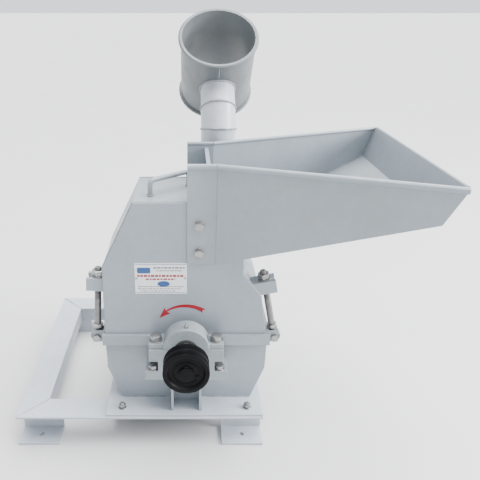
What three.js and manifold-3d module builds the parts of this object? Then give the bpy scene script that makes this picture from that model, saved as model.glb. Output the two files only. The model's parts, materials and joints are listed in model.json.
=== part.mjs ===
// Hammer mill: swing-hammer rotor, lift-off lid with a feed hopper, product fan and collector drum.
// Millimetres. While it is being built X = 0 is the shaft, Y = 0 the frame's front edge and Z = 0 the floor.
import * as THREE from 'three';
import { mergeVertices } from 'three/addons/utils/BufferGeometryUtils.js';
import Module from 'manifold-3d';

const wasm = await Module();
wasm.setup();

// ---- Frame of angle rails ----
const frameWidth = 534;
const frameDepth = 507;
const frameHeight = 80;
const railFlat = 60;
const railDrop = 40;
const railWall = 5;
const footReach = 58;
const footLength = 90;
const footOverhang = 3;
const footHoleRadius = 6;

// ---- Base plate and the mill's place on it ----
const plateWidth = 340;
const plateMargin = 6;
const plateSetback = 4;
const plateThickness = 4.7;
const millOffset = 4;

// ---- Grinding chamber ----
const chamberFront = 62;
const chamberDepth = 170;
const endPlate = 5;
const sideSheet = 3;
const shaftHeight = 253;
const splitHalfWidth = 172;
const kneeHalfWidth = 171;
const kneeHeight = 163;
const sillHalfWidth = 143;
const shoulderLeft = 169;
const shoulderHeight = 409;
const crownLeft = 102;
const crownHeight = 547;
const rightSplit = 168;
const rightKnee = 154;
const rightKneeHeight = 344;
const throatRight = 115;
const throatFoot = 393;
const flangeHeight = 25;
const flangeProud = 6;
const frontFlangeProud = 8;
const stopX = 132;
const stopHalfWidth = 16;
const stopRise = 24;
const stopThickness = 5;

// ---- Feed hopper ----
const hopperSheet = 2.5;
const hopperRim = 624;
const hopperLeft = 2;
const hopperBend = 58;
const hopperEnd = 457;
const hopperFoot = 418;
const hopperToeX = 429;
const hopperToeHeight = 554;
const frontFlare = 137;
const rearFlare = 154;
const frontBead = 6;
const rearBead = 4;
const innerSheetX = 44.5;
const innerSheetFold = 8;
const innerSheetDrop = 12;
const hopperBoltX = 25;
const hopperBoltHeights = [444, 502];
const hopperBoltRadius = 5;
const hopperBoltFlats = 17;
const hopperBoltHead = 6.4;
const hopperBoltTail = 3;

// ---- Rotor ----
const shaftRadius = 17.5;
const rotorShaftRadius = 20;
const pulleySeatRadius = 14;
const shaftTail = 6;
const shaftStep = 2.5;
const discRadius = 93;
const discThickness = 6;
const discPitch = 66;
const pinCircle = 80;
const pinRadius = 6;
const spacerRadius = 10;
const hubProud = 4;
const hubWall = 5;
const hammerTipGap = 8.5;
const hammerHead = 12;
const hammerCorner = 5;
const hammerWidth = 32;
const hammerThickness = 12;
const hammerStep = 14;
const screenRadius = 138;
const screenThickness = 3;
const screenHoleRadius = 5;
const screenRows = 3;
const screenColumns = 11;
const pegRadius = 4;
const pegLength = 10;
const pegAngles = [200, 235, 305, 340];

// ---- Pulley ----
const pulleyRadius = 45;
const pulleyWidth = 37;
const pulleyProud = 75;
const grooveDepth = 9;
const grooveWidth = 12;
const grooveFloor = 4.8;
const pulleyRecess = 4;
const pulleyRim = 8;
const pulleyHubRadius = 22.5;
const pulleyChamfer = 2.7;

// ---- Split pillow blocks and their pedestals ----
const bearingFoot = 85;
const bearingFootThickness = 15;
const bearingHeight = 68;
const bearingDepth = 50;
const bearingFront = 2.5;
const barrelDepth = 38;
const barrelRadius = 47;
const capEar = 76;
const baseDraft = 2;
const earInset = 3;
const capEarThickness = 12;
const capBoltX = 62;
const capBoltRadius = 6;
const capBoltFlats = 22;
const capBoltHead = 8;
const capBoltDepth = 18;
const footPocketX = 58;
const footPocketDepth = 20;
const footPocketRoof = 11;
const pedestalWidth = 65;
const pedestalDepth = 42;
const pedestalInset = 13.5;
const pedestalWall = 5;
const shelfThickness = 6.5;
const fanBearingGap = 22.7;

// ---- Fan, duct, riser pipe and drum ----
const ductWall = 3;
const ductNeck = 60;
const ductShoulder = 193;
const windowHalfWidth = 100;
const windowHeight = 20;
const eyeRadius = 45;
const fanDepth = 60;
const fanWall = 3;
const fanCutoffRadius = 84;
const fanOutletHeight = 107;
const fanLegHalf = 30;
const fanLegInset = 14;
const fanSoleHalf = 40;
const fanSoleDepth = 35;
const impellerRadius = 74;
const bladeCount = 6;
const bladeThickness = 3;
const impellerHubWall = 9;
const impellerHubSetback = 12;
const pipeRadius = 38.4;
const pipeWall = 2.5;
const pipeFlangeReach = 6;
const pipeFlangeThickness = 6;
const pipeX = 71;
const pipeHopperGap = 6.8;
const firstSeamHeight = 638.5;
const seamSpacing = 45;
const thirdPieceLength = 47;
const drumRadius = 83.5;
const drumWall = 2.5;
const drumBead = 3.3;
const drumLength = 170;
const drumAbovePipe = 84;
const bendStep = THREE.MathUtils.degToRad(25);
const seamLap = 0.05;

// ---- Swing bolts that clamp the lid ----
const rodRadius = 7;
const eyeWall = 9;
const eyeCheek = 1;
const lugThickness = 4;
const lugReach = 9;
const lugDrop = 11;
const pivotPinRadius = 5;
const pivotHeight = 237;
const swingSetback = 22;
const earHalfWidth = 17;
const earRoot = 45;
const earThickness = 5;
const earHeight = 28;
const earReach = 22;
const gussetThickness = 3;
const nutFlats = 22;
const nutHeight = 12;
const rodTail = 20;
const clampSides = [
  { name: 'left', side: -1, pivotX: 192, lean: 4, reach: 144 },
  { name: 'right', side: 1, pivotX: 189, lean: 11.5, reach: 139 },
];

// ---- Handle ----
const handleRadius = 5;
const handleHeight = 31;
const handleBend = 12;
const handleFromCrown = 31;
const handleFromSheet = 39.5;
const handleSetbacks = [44, 106];

// ---- Clearances ----
const gap = 0.3;
const runningGap = 0.5;
const lidGap = 1;
const slotGap = 1.5;
const bladeClearance = 4;
const shaftClearance = 1.2;
const plateClearance = 4;

// ---- Places worked out from the sizes above ----
const frameRight = plateWidth / 2 - millOffset;
const frameLeft = frameRight - frameWidth;
const plateLeft = frameRight - plateWidth;
const deckTop = frameHeight + gap + plateThickness;
const chamberBack = chamberFront + chamberDepth;
const chamberMiddle = (chamberFront + chamberBack) / 2;
const sheetFront = chamberFront + endPlate + gap;
const sheetBack = chamberBack - endPlate - gap;
const sill = deckTop + gap;
const lowerTop = shaftHeight - gap / 2;
const upperFoot = shaftHeight + gap / 2;
const hopperFrontY = chamberFront - gap;
const hopperRearY = chamberBack + gap;
const hopperRun = hopperEnd - hopperBend;
const rearSheetAtPipe = hopperRearY + hopperSheet / 2 + rearFlare * (pipeX - hopperBend) / hopperRun;
const pipeReach = pipeRadius + rearBead + pipeHopperGap;
const pipeY = rearSheetAtPipe + pipeReach / Math.cos(Math.atan2(rearFlare, hopperRun));
const fanFront = pipeY - fanDepth / 2;
const fanBack = pipeY + fanDepth / 2;
const ductFront = chamberBack + lidGap;
const ductBack = fanFront - gap;
const pipeFlangeHalf = pipeRadius + pipeFlangeReach;
const pipeToDrumAxis = drumRadius + thirdPieceLength;
const rearBearingY = fanBack + fanBearingGap + bearingDepth;
const plateBack = rearBearingY + plateMargin;
const shaftBore = shaftRadius + shaftClearance;
const plateShaftHole = rotorShaftRadius + plateClearance;
const hubRadius = rotorShaftRadius + hubWall;
const hammerReach = Math.sqrt((screenRadius - hammerTipGap) ** 2 - (hammerWidth / 2) ** 2) - pinCircle;
const eyeWidth = 2 * (rodRadius + eyeCheek);
const eyeOuter = pivotPinRadius + eyeWall;
const pivotY = chamberFront + swingSetback;
const floorSlope = (hopperToeHeight - hopperFoot) / (hopperToeX - hopperBend);

const mill = new THREE.Group();

// ---- Geometry helpers ----
function solid(geometry) {
  const bare = geometry.clone();
  bare.deleteAttribute('normal');
  bare.deleteAttribute('uv');
  const merged = mergeVertices(bare, 1e-4);
  return new wasm.Manifold(new wasm.Mesh({
    numProp: 3,
    vertProperties: new Float32Array(merged.attributes.position.array),
    triVerts: new Uint32Array(merged.index.array),
  }));
}

function geometryOf(body) {
  const mesh = body.getMesh();
  const geometry = new THREE.BufferGeometry();
  geometry.setAttribute('position', new THREE.BufferAttribute(mesh.vertProperties, 3));
  geometry.setIndex(new THREE.BufferAttribute(mesh.triVerts, 1));
  return geometry;
}

function join(first, ...others) {
  return geometryOf(others.reduce((sum, piece) => sum.add(solid(piece)), solid(first)));
}

function cut(first, ...others) {
  return geometryOf(others.reduce((rest, piece) => rest.subtract(solid(piece)), solid(first)));
}

function common(first, second) {
  return geometryOf(solid(first).intersect(solid(second)));
}

function box(x0, x1, y0, y1, z0, z1) {
  const geometry = new THREE.BoxGeometry(x1 - x0, y1 - y0, z1 - z0);
  return geometry.translate((x0 + x1) / 2, (y0 + y1) / 2, (z0 + z1) / 2);
}

function outline(points) {
  return new THREE.Shape(points.map(([a, b]) => new THREE.Vector2(a, b)));
}

// A flat plate whose outline lies in X and Z, from y0 back to y1.
function plateXZ(shape, y0, y1) {
  const settings = { depth: y1 - y0, bevelEnabled: false, curveSegments: 12 };
  const geometry = new THREE.ExtrudeGeometry(shape, settings);
  return geometry.rotateX(Math.PI / 2).translate(0, y1, 0);
}

// A prism whose outline lies in X and Y, from z0 up to z1.
function prismXY(points, z0, z1) {
  const geometry = new THREE.ExtrudeGeometry(outline(points), { depth: z1 - z0, bevelEnabled: false });
  return geometry.translate(0, 0, z0);
}

function cylinderY(radius, x, z, y0, y1, sides = 24) {
  const geometry = new THREE.CylinderGeometry(radius, radius, y1 - y0, sides);
  return geometry.translate(x, (y0 + y1) / 2, z);
}

function cylinderZ(radius, x, y, z0, z1, sides = 24) {
  const geometry = new THREE.CylinderGeometry(radius, radius, z1 - z0, sides);
  return geometry.rotateX(Math.PI / 2).translate(x, y, (z0 + z1) / 2);
}

// A round bar from one point to another.
function bar(from, to, radius, sides = 16) {
  const start = new THREE.Vector3(...from);
  const end = new THREE.Vector3(...to);
  const along = end.clone().sub(start);
  const geometry = new THREE.CylinderGeometry(radius, radius, along.length(), sides);
  const upright = new THREE.Vector3(0, 1, 0);
  const turn = new THREE.Quaternion().setFromUnitVectors(upright, along.clone().normalize());
  geometry.applyQuaternion(turn);
  const middle = start.add(end).multiplyScalar(0.5);
  return geometry.translate(middle.x, middle.y, middle.z);
}

// The outline of a sheet bent along the points, its thickness on the left of the way they run.
function bentOutline(points, thickness) {
  const inner = points.map((point, i) => offsetPoint(points, i, thickness));
  return outline([...points, ...inner.reverse()]);
}

function offsetPoint(points, i, distance) {
  const here = new THREE.Vector2(...points[i]);
  const before = i > 0 ? here.clone().sub(new THREE.Vector2(...points[i - 1])).normalize() : null;
  const after = i < points.length - 1 ? new THREE.Vector2(...points[i + 1]).sub(here).normalize() : null;
  const first = before ?? after;
  const second = after ?? before;
  const normal = new THREE.Vector2(-first.y - second.y, first.x + second.x).normalize();
  const stretch = distance / normal.dot(new THREE.Vector2(-second.y, second.x));
  return [here.x + normal.x * stretch, here.y + normal.y * stretch];
}

function paint(colour, roughness, metalness) {
  return () => new THREE.MeshStandardMaterial({ color: colour, roughness, metalness });
}

const greyPaint = paint(0xa8b0b5, 0.5, 0.1);
const bearingPaint = paint(0xb9c2c6, 0.45, 0.2);
const blackPaint = paint(0x101114, 0.45, 0.2);
const steel = paint(0x85888a, 0.35, 0.9);
const forged = paint(0x5c5a57, 0.5, 0.8);

function put(name, geometry, material) {
  const mesh = new THREE.Mesh(geometry, material());
  mesh.name = name;
  mill.add(mesh);
  return mesh;
}

// ---- Frame ----
// A mitred angle rail: the flat leg on top points outward and the other hangs at the inner side.
function angleRail(length) {
  const half = length / 2 - gap;
  const inner = half - railFlat;
  const flat = prismXY([[-half, 0], [half, 0], [inner, railFlat], [-inner, railFlat]], -railWall, 0);
  const legStart = railFlat - railWall;
  const leg = prismXY([
    [-inner - railWall, legStart],
    [inner + railWall, legStart],
    [inner, railFlat],
    [-inner, railFlat],
  ], -railDrop, -railWall / 2);
  return join(flat, leg);
}

function buildFrame() {
  const middleX = (frameLeft + frameRight) / 2;
  const middleY = frameDepth / 2;
  const rails = [
    ['rail_front', frameWidth, middleX, 0, 0],
    ['rail_right', frameDepth, frameRight, middleY, Math.PI / 2],
    ['rail_rear', frameWidth, middleX, frameDepth, Math.PI],
    ['rail_left', frameDepth, frameLeft, middleY, -Math.PI / 2],
  ];
  for (const [name, length, x, y, turn] of rails) {
    const rail = put(name, angleRail(length), greyPaint);
    rail.position.set(x, y, frameHeight);
    rail.rotation.z = turn;
  }
  const crossStart = railFlat + gap;
  const flat = box(plateLeft, plateLeft + railFlat, crossStart, frameDepth - crossStart,
    frameHeight - railWall, frameHeight);
  const leg = box(plateLeft, plateLeft + railWall, crossStart, frameDepth - crossStart,
    frameHeight - railDrop, frameHeight - railWall / 2);
  put('rail_middle', join(flat, leg), greyPaint);
}

// A foot is a short angle under a rail's hanging leg, its floor plate pointing outward.
function buildFeet() {
  const corners = [
    ['foot_front_left', frameLeft - footOverhang, 1],
    ['foot_front_right', frameRight - footLength + footOverhang, 1],
    ['foot_rear_left', frameLeft - footOverhang, -1],
    ['foot_rear_right', frameRight - footLength + footOverhang, -1],
  ];
  for (const [name, x, inward] of corners) {
    const back = inward * railFlat;
    const floorPlate = box(0, footLength, Math.min(back, back - inward * footReach),
      Math.max(back, back - inward * footReach), 0, railWall);
    const upright = box(0, footLength, Math.min(back, back - inward * railWall),
      Math.max(back, back - inward * railWall), railWall / 2, frameHeight - railDrop - gap);
    const hole = cylinderZ(footHoleRadius, footLength / 2, inward * railFlat / 2, -1, railWall + 1);
    const foot = put(name, cut(join(floorPlate, upright), hole), greyPaint);
    foot.position.set(x, inward > 0 ? 0 : frameDepth, 0);
  }
}

function buildBasePlate() {
  const plate = box(plateLeft, frameRight, plateSetback, plateBack, frameHeight + gap, deckTop);
  put('base_plate', plate, greyPaint);
}

// ---- Chamber outlines, in X and Z ----
const lowerOutline = [
  [-sillHalfWidth, sill],
  [sillHalfWidth, sill],
  [kneeHalfWidth, kneeHeight],
  [splitHalfWidth, lowerTop],
  [-splitHalfWidth, lowerTop],
  [-kneeHalfWidth, kneeHeight],
];
const upperOutline = [
  [-splitHalfWidth, upperFoot],
  [rightSplit, upperFoot],
  [rightKnee, rightKneeHeight],
  [throatRight, throatFoot],
  [throatRight, crownHeight],
  [-crownLeft, crownHeight],
  [-shoulderLeft, shoulderHeight],
];

function shaftHole(y0, y1) {
  return cylinderY(plateShaftHole, 0, shaftHeight, y0, y1, 32);
}

function flangeX(y0, y1) {
  return box(-splitHalfWidth - flangeProud, splitHalfWidth + flangeProud, y0, y1,
    shaftHeight - flangeHeight, lowerTop);
}

// Pegs that carry the screen stand on the inner faces of the end plates.
function screenPegs(y0, y1) {
  const reach = screenRadius + screenThickness + gap + pegRadius;
  return pegAngles.map((degrees) => {
    const angle = THREE.MathUtils.degToRad(degrees);
    return cylinderY(pegRadius, reach * Math.cos(angle), shaftHeight + reach * Math.sin(angle), y0, y1, 12);
  });
}

function buildLowerPlates() {
  const frontInner = chamberFront + endPlate;
  const backInner = chamberBack - endPlate;
  const front = join(
    plateXZ(outline(lowerOutline), chamberFront, frontInner),
    flangeX(chamberFront - frontFlangeProud, chamberFront + 1),
    ...screenPegs(frontInner - 1, frontInner + pegLength),
  );
  put('lower_front_plate', cut(front, shaftHole(0, frontInner + 1)), greyPaint);
  const rear = join(
    plateXZ(outline(lowerOutline), backInner, chamberBack),
    flangeX(chamberBack - 1, chamberBack + frontFlangeProud),
    ...screenPegs(backInner - pegLength, backInner + 1),
  );
  const window = box(-windowHalfWidth, windowHalfWidth, backInner - 1, chamberBack + 1,
    sill + ductWall, sill + ductWall + windowHeight);
  const ductRecess = box(-ductNeck - gap, ductNeck + gap, chamberBack, fanFront, sill, shaftHeight + 1);
  put('lower_rear_plate', cut(join(rear, ...rearStops()), shaftHole(backInner - 1, fanFront), window,
    ductRecess), greyPaint);
}

// Upright tabs on the rear flange: the lid's rear plate stands in front of them and is bolted to them.
function rearStops() {
  const face = chamberBack + gap;
  return [-1, 1].map((side) => box(side * stopX - stopHalfWidth, side * stopX + stopHalfWidth,
    face, face + stopThickness, lowerTop - 1, shaftHeight + stopRise));
}

// Lugs with the pivot pin between them, for one swing bolt.
function pivotLugs(clamp) {
  const y = pivotY;
  const x = clamp.side * clamp.pivotX;
  const inner = clamp.side * (splitHalfWidth - 1);
  const outer = x + clamp.side * lugReach;
  const halfGap = eyeWidth / 2 + runningGap;
  const plates = [-1, 1].map((way) => {
    const near = y + way * halfGap;
    const far = near + way * lugThickness;
    return box(Math.min(inner, outer), Math.max(inner, outer), Math.min(near, far), Math.max(near, far),
      pivotHeight - lugDrop, lowerTop);
  });
  const pin = cylinderY(pivotPinRadius, x, pivotHeight, y - halfGap - lugThickness + 1,
    y + halfGap + lugThickness - 1, 12);
  const eyePocket = cylinderY(eyeOuter + 1, x, pivotHeight, y - halfGap, y + halfGap, 16);
  const rodPocket = onClamp(cylinderZ(rodRadius + runningGap, 0, 0, 0, shaftHeight, 16), clamp);
  return { plates, pin, pocket: join(eyePocket, rodPocket) };
}

function buildLowerSides() {
  for (const clamp of clampSides) {
    const side = clamp.side;
    const wall = [[sillHalfWidth, sill], [kneeHalfWidth, kneeHeight], [splitHalfWidth, lowerTop]];
    const mirrored = wall.map(([x, z]) => [side * x, z]);
    const sheet = plateXZ(bentOutline(mirrored, side * sideSheet), sheetFront, sheetBack);
    const bandX = [side * (splitHalfWidth - 1), side * (splitHalfWidth + flangeProud)].sort((a, b) => a - b);
    const band = box(bandX[0], bandX[1], sheetFront, sheetBack, shaftHeight - flangeHeight, lowerTop);
    const lugs = pivotLugs(clamp);
    const pocketed = cut(join(sheet, band, ...lugs.plates), lugs.pocket);
    put(`lower_${clamp.name}_sheet`, join(pocketed, lugs.pin), greyPaint);
  }
}

// ---- Upper chamber, which lifts off as the lid ----
function hopperBoltHoles(y0, y1) {
  return hopperBoltHeights.map((z) => cylinderY(hopperBoltRadius + runningGap, hopperBoltX, z, y0, y1, 16));
}

function buildUpperPlates() {
  const frontInner = chamberFront + endPlate;
  const backInner = chamberBack - endPlate;
  const front = plateXZ(outline(upperOutline), chamberFront, frontInner);
  put('upper_front_plate', cut(front, shaftHole(0, frontInner + 1),
    ...hopperBoltHoles(0, frontInner + 1)), greyPaint);
  const rear = plateXZ(outline(upperOutline), backInner, chamberBack);
  put('upper_rear_plate', cut(rear, shaftHole(backInner - 1, fanFront)), greyPaint);
}

// Turns a piece drawn at the origin, with Z along the bolt and X outward, onto a swing bolt's line.
function onClamp(geometry, clamp) {
  geometry.rotateY(THREE.MathUtils.degToRad(-clamp.side * clamp.lean));
  return geometry.translate(clamp.side * clamp.pivotX, pivotY, pivotHeight);
}

// A slotted ear with two gussets, open outward so that the bolt can swing out of it.
function clampEar(clamp) {
  const top = clamp.reach;
  const spanX = [-clamp.side * earRoot, clamp.side * earReach].sort((a, b) => a - b);
  const deck = box(spanX[0], spanX[1], -earHalfWidth, earHalfWidth, top - earThickness, top);
  const slotX = [-clamp.side * (rodRadius + slotGap), clamp.side * (earReach + 1)].sort((a, b) => a - b);
  const slot = box(slotX[0], slotX[1], -rodRadius - slotGap, rodRadius + slotGap,
    top - earThickness - 1, top + 1);
  const gussets = [-1, 1].map((way) => {
    const near = way * (earHalfWidth - gussetThickness);
    const far = way * earHalfWidth;
    return box(spanX[0], spanX[1], Math.min(near, far), Math.max(near, far),
      top - earHeight, top - earThickness + 1);
  });
  return onClamp(cut(join(deck, ...gussets), slot), clamp);
}

function buildUpperSides() {
  const left = [
    [innerSheetX + hopperSheet, crownHeight],
    [-crownLeft, crownHeight],
    [-shoulderLeft, shoulderHeight],
    [-splitHalfWidth, upperFoot],
  ];
  const throatTop = hopperFoot + floorSlope * (throatRight - hopperBend) - hopperSheet - gap;
  const right = [
    [rightSplit, upperFoot],
    [rightKnee, rightKneeHeight],
    [throatRight, throatFoot],
    [throatRight, throatTop],
  ];
  const inside = upperOutline.map(([x, z]) => [x - Math.sign(x), z > upperFoot ? z - 1 : z - earHeight]);
  const core = plateXZ(outline(inside), 0, chamberBack + chamberFront);
  const walls = { left, right };
  for (const clamp of clampSides) {
    const bent = plateXZ(bentOutline(walls[clamp.name], sideSheet), sheetFront, sheetBack);
    const belowSplit = box(-splitHalfWidth - 1, splitHalfWidth + 1, 0, chamberBack,
      lowerTop - sideSheet, upperFoot);
    const sheet = cut(bent, belowSplit);
    put(`upper_${clamp.name}_sheet`, join(sheet, cut(clampEar(clamp), core)), greyPaint);
  }
}

function buildHandle() {
  const [x0, x1] = [handleFromCrown - crownLeft, innerSheetX - handleFromSheet];
  const [y0, y1] = handleSetbacks.map((setback) => chamberFront + setback);
  const low = crownHeight + gap;
  const high = crownHeight + handleHeight;
  const along = new THREE.Vector3(x1 - x0, y1 - y0, 0).normalize().multiplyScalar(handleBend);
  const footA = new THREE.Vector3(x0, y0, low);
  const footB = new THREE.Vector3(x1, y1, low);
  const topA = new THREE.Vector3(x0, y0, high);
  const topB = new THREE.Vector3(x1, y1, high);
  const down = new THREE.Vector3(0, 0, -handleBend);
  const path = new THREE.CurvePath();
  const bendA = [topA.clone().add(down), topA, topA.clone().add(along)];
  const bendB = [topB.clone().sub(along), topB, topB.clone().add(down)];
  path.add(new THREE.LineCurve3(footA, bendA[0]));
  path.add(new THREE.QuadraticBezierCurve3(...bendA));
  path.add(new THREE.LineCurve3(bendA[2], bendB[0]));
  path.add(new THREE.QuadraticBezierCurve3(...bendB));
  path.add(new THREE.LineCurve3(bendB[2], footB));
  const section = new THREE.Shape().absarc(0, 0, handleRadius, 0, 2 * Math.PI);
  const geometry = new THREE.ExtrudeGeometry(section, {
    steps: 26, bevelEnabled: false, extrudePath: path, curveSegments: 4,
  });
  put('lifting_handle', geometry, greyPaint);
}

// ---- Hopper ----
// A wall that starts straight along the chamber and then flares; flare is how far it has moved at the end.
function hopperWall(startY, thicknessWay, flare, bead) {
  const straight = box(hopperLeft, hopperBend + 1, Math.min(startY, startY + thicknessWay * hopperSheet),
    Math.max(startY, startY + thicknessWay * hopperSheet), hopperFoot, hopperRim - bead);
  const stretch = Math.hypot(hopperRun, flare) / hopperRun;
  const shape = outline([
    [0, hopperFoot],
    [(hopperToeX - hopperBend) * stretch, hopperToeHeight],
    [hopperRun * stretch, hopperRim - bead],
    [0, hopperRim - bead],
  ]);
  const flat = new THREE.ExtrudeGeometry(shape, { depth: hopperSheet, bevelEnabled: false });
  flat.rotateX(Math.PI / 2);
  flat.translate(0, thicknessWay > 0 ? hopperSheet : 0, 0);
  flat.rotateZ(Math.atan2(flare, hopperRun));
  flat.translate(hopperBend, startY, 0);
  return join(straight, flat, ...rimBars(startY + thicknessWay * hopperSheet / 2, flare, bead, 0));
}

// The rolled edge along a wall's rim; grown by a margin, it is the room that other pieces leave it.
function rimBars(y, flare, bead, margin) {
  const z = hopperRim - bead;
  return [
    bar([hopperLeft - margin, y, z], [hopperBend, y, z], bead + margin, 12),
    bar([hopperBend, y, z], [hopperEnd + margin, y + flare, z], bead + margin, 12),
  ];
}

function buildHopper() {
  const frontWall = hopperWall(hopperFrontY, -1, -frontFlare, frontBead);
  put('hopper_front_sheet', cut(frontWall, ...hopperBoltHoles(0, chamberFront)), greyPaint);
  put('hopper_rear_sheet', hopperWall(hopperRearY, 1, rearFlare, rearBead), greyPaint);
  const frontStart = hopperFrontY + gap;
  const rearStart = hopperRearY - gap;
  const frontEnd = frontStart - frontFlare;
  const rearEnd = rearStart + rearFlare;
  const between = prismXY([
    [hopperBend + gap, frontStart],
    [hopperEnd, frontEnd],
    [hopperEnd, rearEnd],
    [hopperBend + gap, rearStart],
  ], 0, hopperRim - rearBead);
  const fold = bentOutline([
    [hopperBend, hopperFoot],
    [hopperToeX, hopperToeHeight],
    [hopperEnd, hopperRim],
  ], hopperSheet);
  const notch = box(0, throatRight + gap, chamberFront - gap, chamberBack + gap, 0, crownHeight + gap);
  const rimRoom = [
    ...rimBars(hopperFrontY - hopperSheet / 2, -frontFlare, frontBead, 2 * gap),
    ...rimBars(hopperRearY + hopperSheet / 2, rearFlare, rearBead, 2 * gap),
  ];
  const tray = cut(common(plateXZ(fold, frontEnd, rearEnd), between), notch, ...rimRoom);
  const endBead = bar([hopperEnd, frontEnd + frontBead + lidGap, hopperRim - rearBead],
    [hopperEnd, rearEnd - rearBead - lidGap, hopperRim - rearBead], rearBead, 12);
  put('hopper_floor', join(tray, endBead), greyPaint);
  const sheetTop = hopperRim - innerSheetDrop;
  const upright = box(innerSheetX, innerSheetX + hopperSheet, frontStart, rearStart,
    crownHeight + gap, sheetTop);
  const foldedTop = box(innerSheetX + hopperSheet - innerSheetFold, innerSheetX + hopperSheet,
    frontStart, rearStart, sheetTop - hopperSheet, sheetTop);
  put('hopper_inner_sheet', join(upright, foldedTop), greyPaint);
}

function hexPrism(flats, height) {
  return new THREE.CylinderGeometry(flats / Math.sqrt(3), flats / Math.sqrt(3), height, 6);
}

function buildHopperBolts() {
  hopperBoltHeights.forEach((z, i) => {
    const sheetFace = hopperFrontY - hopperSheet - gap;
    const head = hexPrism(hopperBoltFlats, hopperBoltHead)
      .translate(hopperBoltX, sheetFace - hopperBoltHead / 2, z);
    const end = chamberFront + endPlate + hopperBoltTail;
    const shank = cylinderY(hopperBoltRadius, hopperBoltX, z, sheetFace - 1, end, 16);
    put(`hopper_bolt_${i + 1}`, join(head, shank), steel);
  });
}

// ---- Screen ----
function buildScreen() {
  const inner = screenRadius;
  const outer = screenRadius + screenThickness;
  const ring = new THREE.Shape();
  const stop = Math.asin(lidGap * 2 / outer);
  ring.absarc(0, 0, outer, Math.PI + stop, 2 * Math.PI - stop, false);
  ring.absarc(0, 0, inner, 2 * Math.PI - stop, Math.PI + stop, true);
  const geometry = new THREE.ExtrudeGeometry(ring, {
    depth: sheetBack - sheetFront, bevelEnabled: false, curveSegments: 18,
  });
  geometry.rotateX(Math.PI / 2).translate(0, sheetBack, shaftHeight);
  const holes = [];
  const clear = screenRadius + screenThickness + pegRadius;
  for (let row = 0; row < screenRows; row += 1) {
    const y = sheetFront + (sheetBack - sheetFront) * (row + 1) / (screenRows + 1);
    for (let column = 0; column < screenColumns; column += 1) {
      const angle = Math.PI + Math.PI * (column + 1) / (screenColumns + 1);
      const way = [Math.cos(angle), Math.sin(angle)];
      const near = inner - 1;
      const from = [way[0] * near, y, shaftHeight + way[1] * near];
      const to = [way[0] * clear, y, shaftHeight + way[1] * clear];
      holes.push(bar(from, to, screenHoleRadius, 6));
    }
  }
  put('screen', cut(geometry, ...holes), steel);
}

// ---- Rotor ----
const pinAngles = [45, 135, 225, 315];
const discPlaces = [-1, 0, 1].map((step) => chamberMiddle + step * discPitch);

function lathedY(profile, segments) {
  const points = profile.map(([radius, y]) => new THREE.Vector2(radius, y));
  return new THREE.LatheGeometry(points, segments);
}

function buildShaft() {
  const front = -pulleyProud;
  const end = rearBearingY + shaftTail;
  const profile = [
    [0, front],
    [pulleySeatRadius, front],
    [pulleySeatRadius, bearingFront - shaftStep],
    [shaftRadius, bearingFront - shaftStep],
    [shaftRadius, chamberFront - shaftStep],
    [rotorShaftRadius, chamberFront - shaftStep],
    [rotorShaftRadius, chamberBack + shaftStep],
    [shaftRadius, chamberBack + shaftStep],
    [shaftRadius, end],
    [0, end],
  ];
  put('shaft', lathedY(profile, 24).translate(0, 0, shaftHeight), steel);
}

function buildPulley() {
  const bore = pulleySeatRadius + gap;
  const front = -pulleyProud;
  const back = front + pulleyWidth;
  const web = front + pulleyRecess;
  const profile = [
    [bore, web],
    [pulleyHubRadius, web],
    [pulleyHubRadius + pulleyChamfer, web + pulleyChamfer],
    [pulleyRadius - pulleyRim - pulleyChamfer, web + pulleyChamfer],
    [pulleyRadius - pulleyRim, front],
    [pulleyRadius, front],
  ];
  for (const groove of [0.25, 0.75]) {
    const middle = front + groove * pulleyWidth;
    profile.push([pulleyRadius, middle - grooveWidth / 2]);
    profile.push([pulleyRadius - grooveDepth, middle - grooveFloor / 2]);
    profile.push([pulleyRadius - grooveDepth, middle + grooveFloor / 2]);
    profile.push([pulleyRadius, middle + grooveWidth / 2]);
  }
  profile.push([pulleyRadius, back], [bore, back], [bore, web]);
  put('pulley', lathedY(profile, 32).translate(0, 0, shaftHeight), blackPaint);
}

function pinPlace(degrees) {
  const angle = THREE.MathUtils.degToRad(degrees);
  return [pinCircle * Math.cos(angle), shaftHeight + pinCircle * Math.sin(angle)];
}

// Two hammers hang on each pin, one in each bay between the discs.
const hammerPlaces = pinAngles.flatMap((degrees, i) => [-1, 1].map((bay) => {
  const [x, z] = pinPlace(degrees);
  const stagger = i % 2 === 0 ? -hammerStep : hammerStep;
  return { x, z, y: chamberMiddle + bay * discPitch / 2 + stagger, bay };
}));

function buildRotorCage() {
  const discs = discPlaces.map((y) => cylinderY(discRadius, 0, shaftHeight, y - discThickness / 2,
    y + discThickness / 2, 32));
  const first = discPlaces[0] - discThickness;
  const last = discPlaces[2] + discThickness;
  const pins = pinAngles.map((degrees) => cylinderY(pinRadius, ...pinPlace(degrees), first, last, 12));
  const hub = cylinderY(hubRadius, 0, shaftHeight, first - hubProud, last + hubProud, 24);
  const spacers = hammerPlaces.flatMap(({ x, z, y, bay }) => {
    const clear = hammerThickness / 2 + runningGap;
    const bayMiddle = chamberMiddle + bay * discPitch / 2;
    const low = bayMiddle - discPitch / 2;
    const high = bayMiddle + discPitch / 2;
    return [
      cylinderY(spacerRadius, x, z, low, y - clear, 8),
      cylinderY(spacerRadius, x, z, y + clear, high, 8),
    ];
  });
  const bore = cylinderY(rotorShaftRadius + runningGap, 0, shaftHeight, first - 10, last + 10, 24);
  put('rotor_cage', cut(join(hub, ...discs, ...pins, ...spacers), bore), forged);
}

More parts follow.
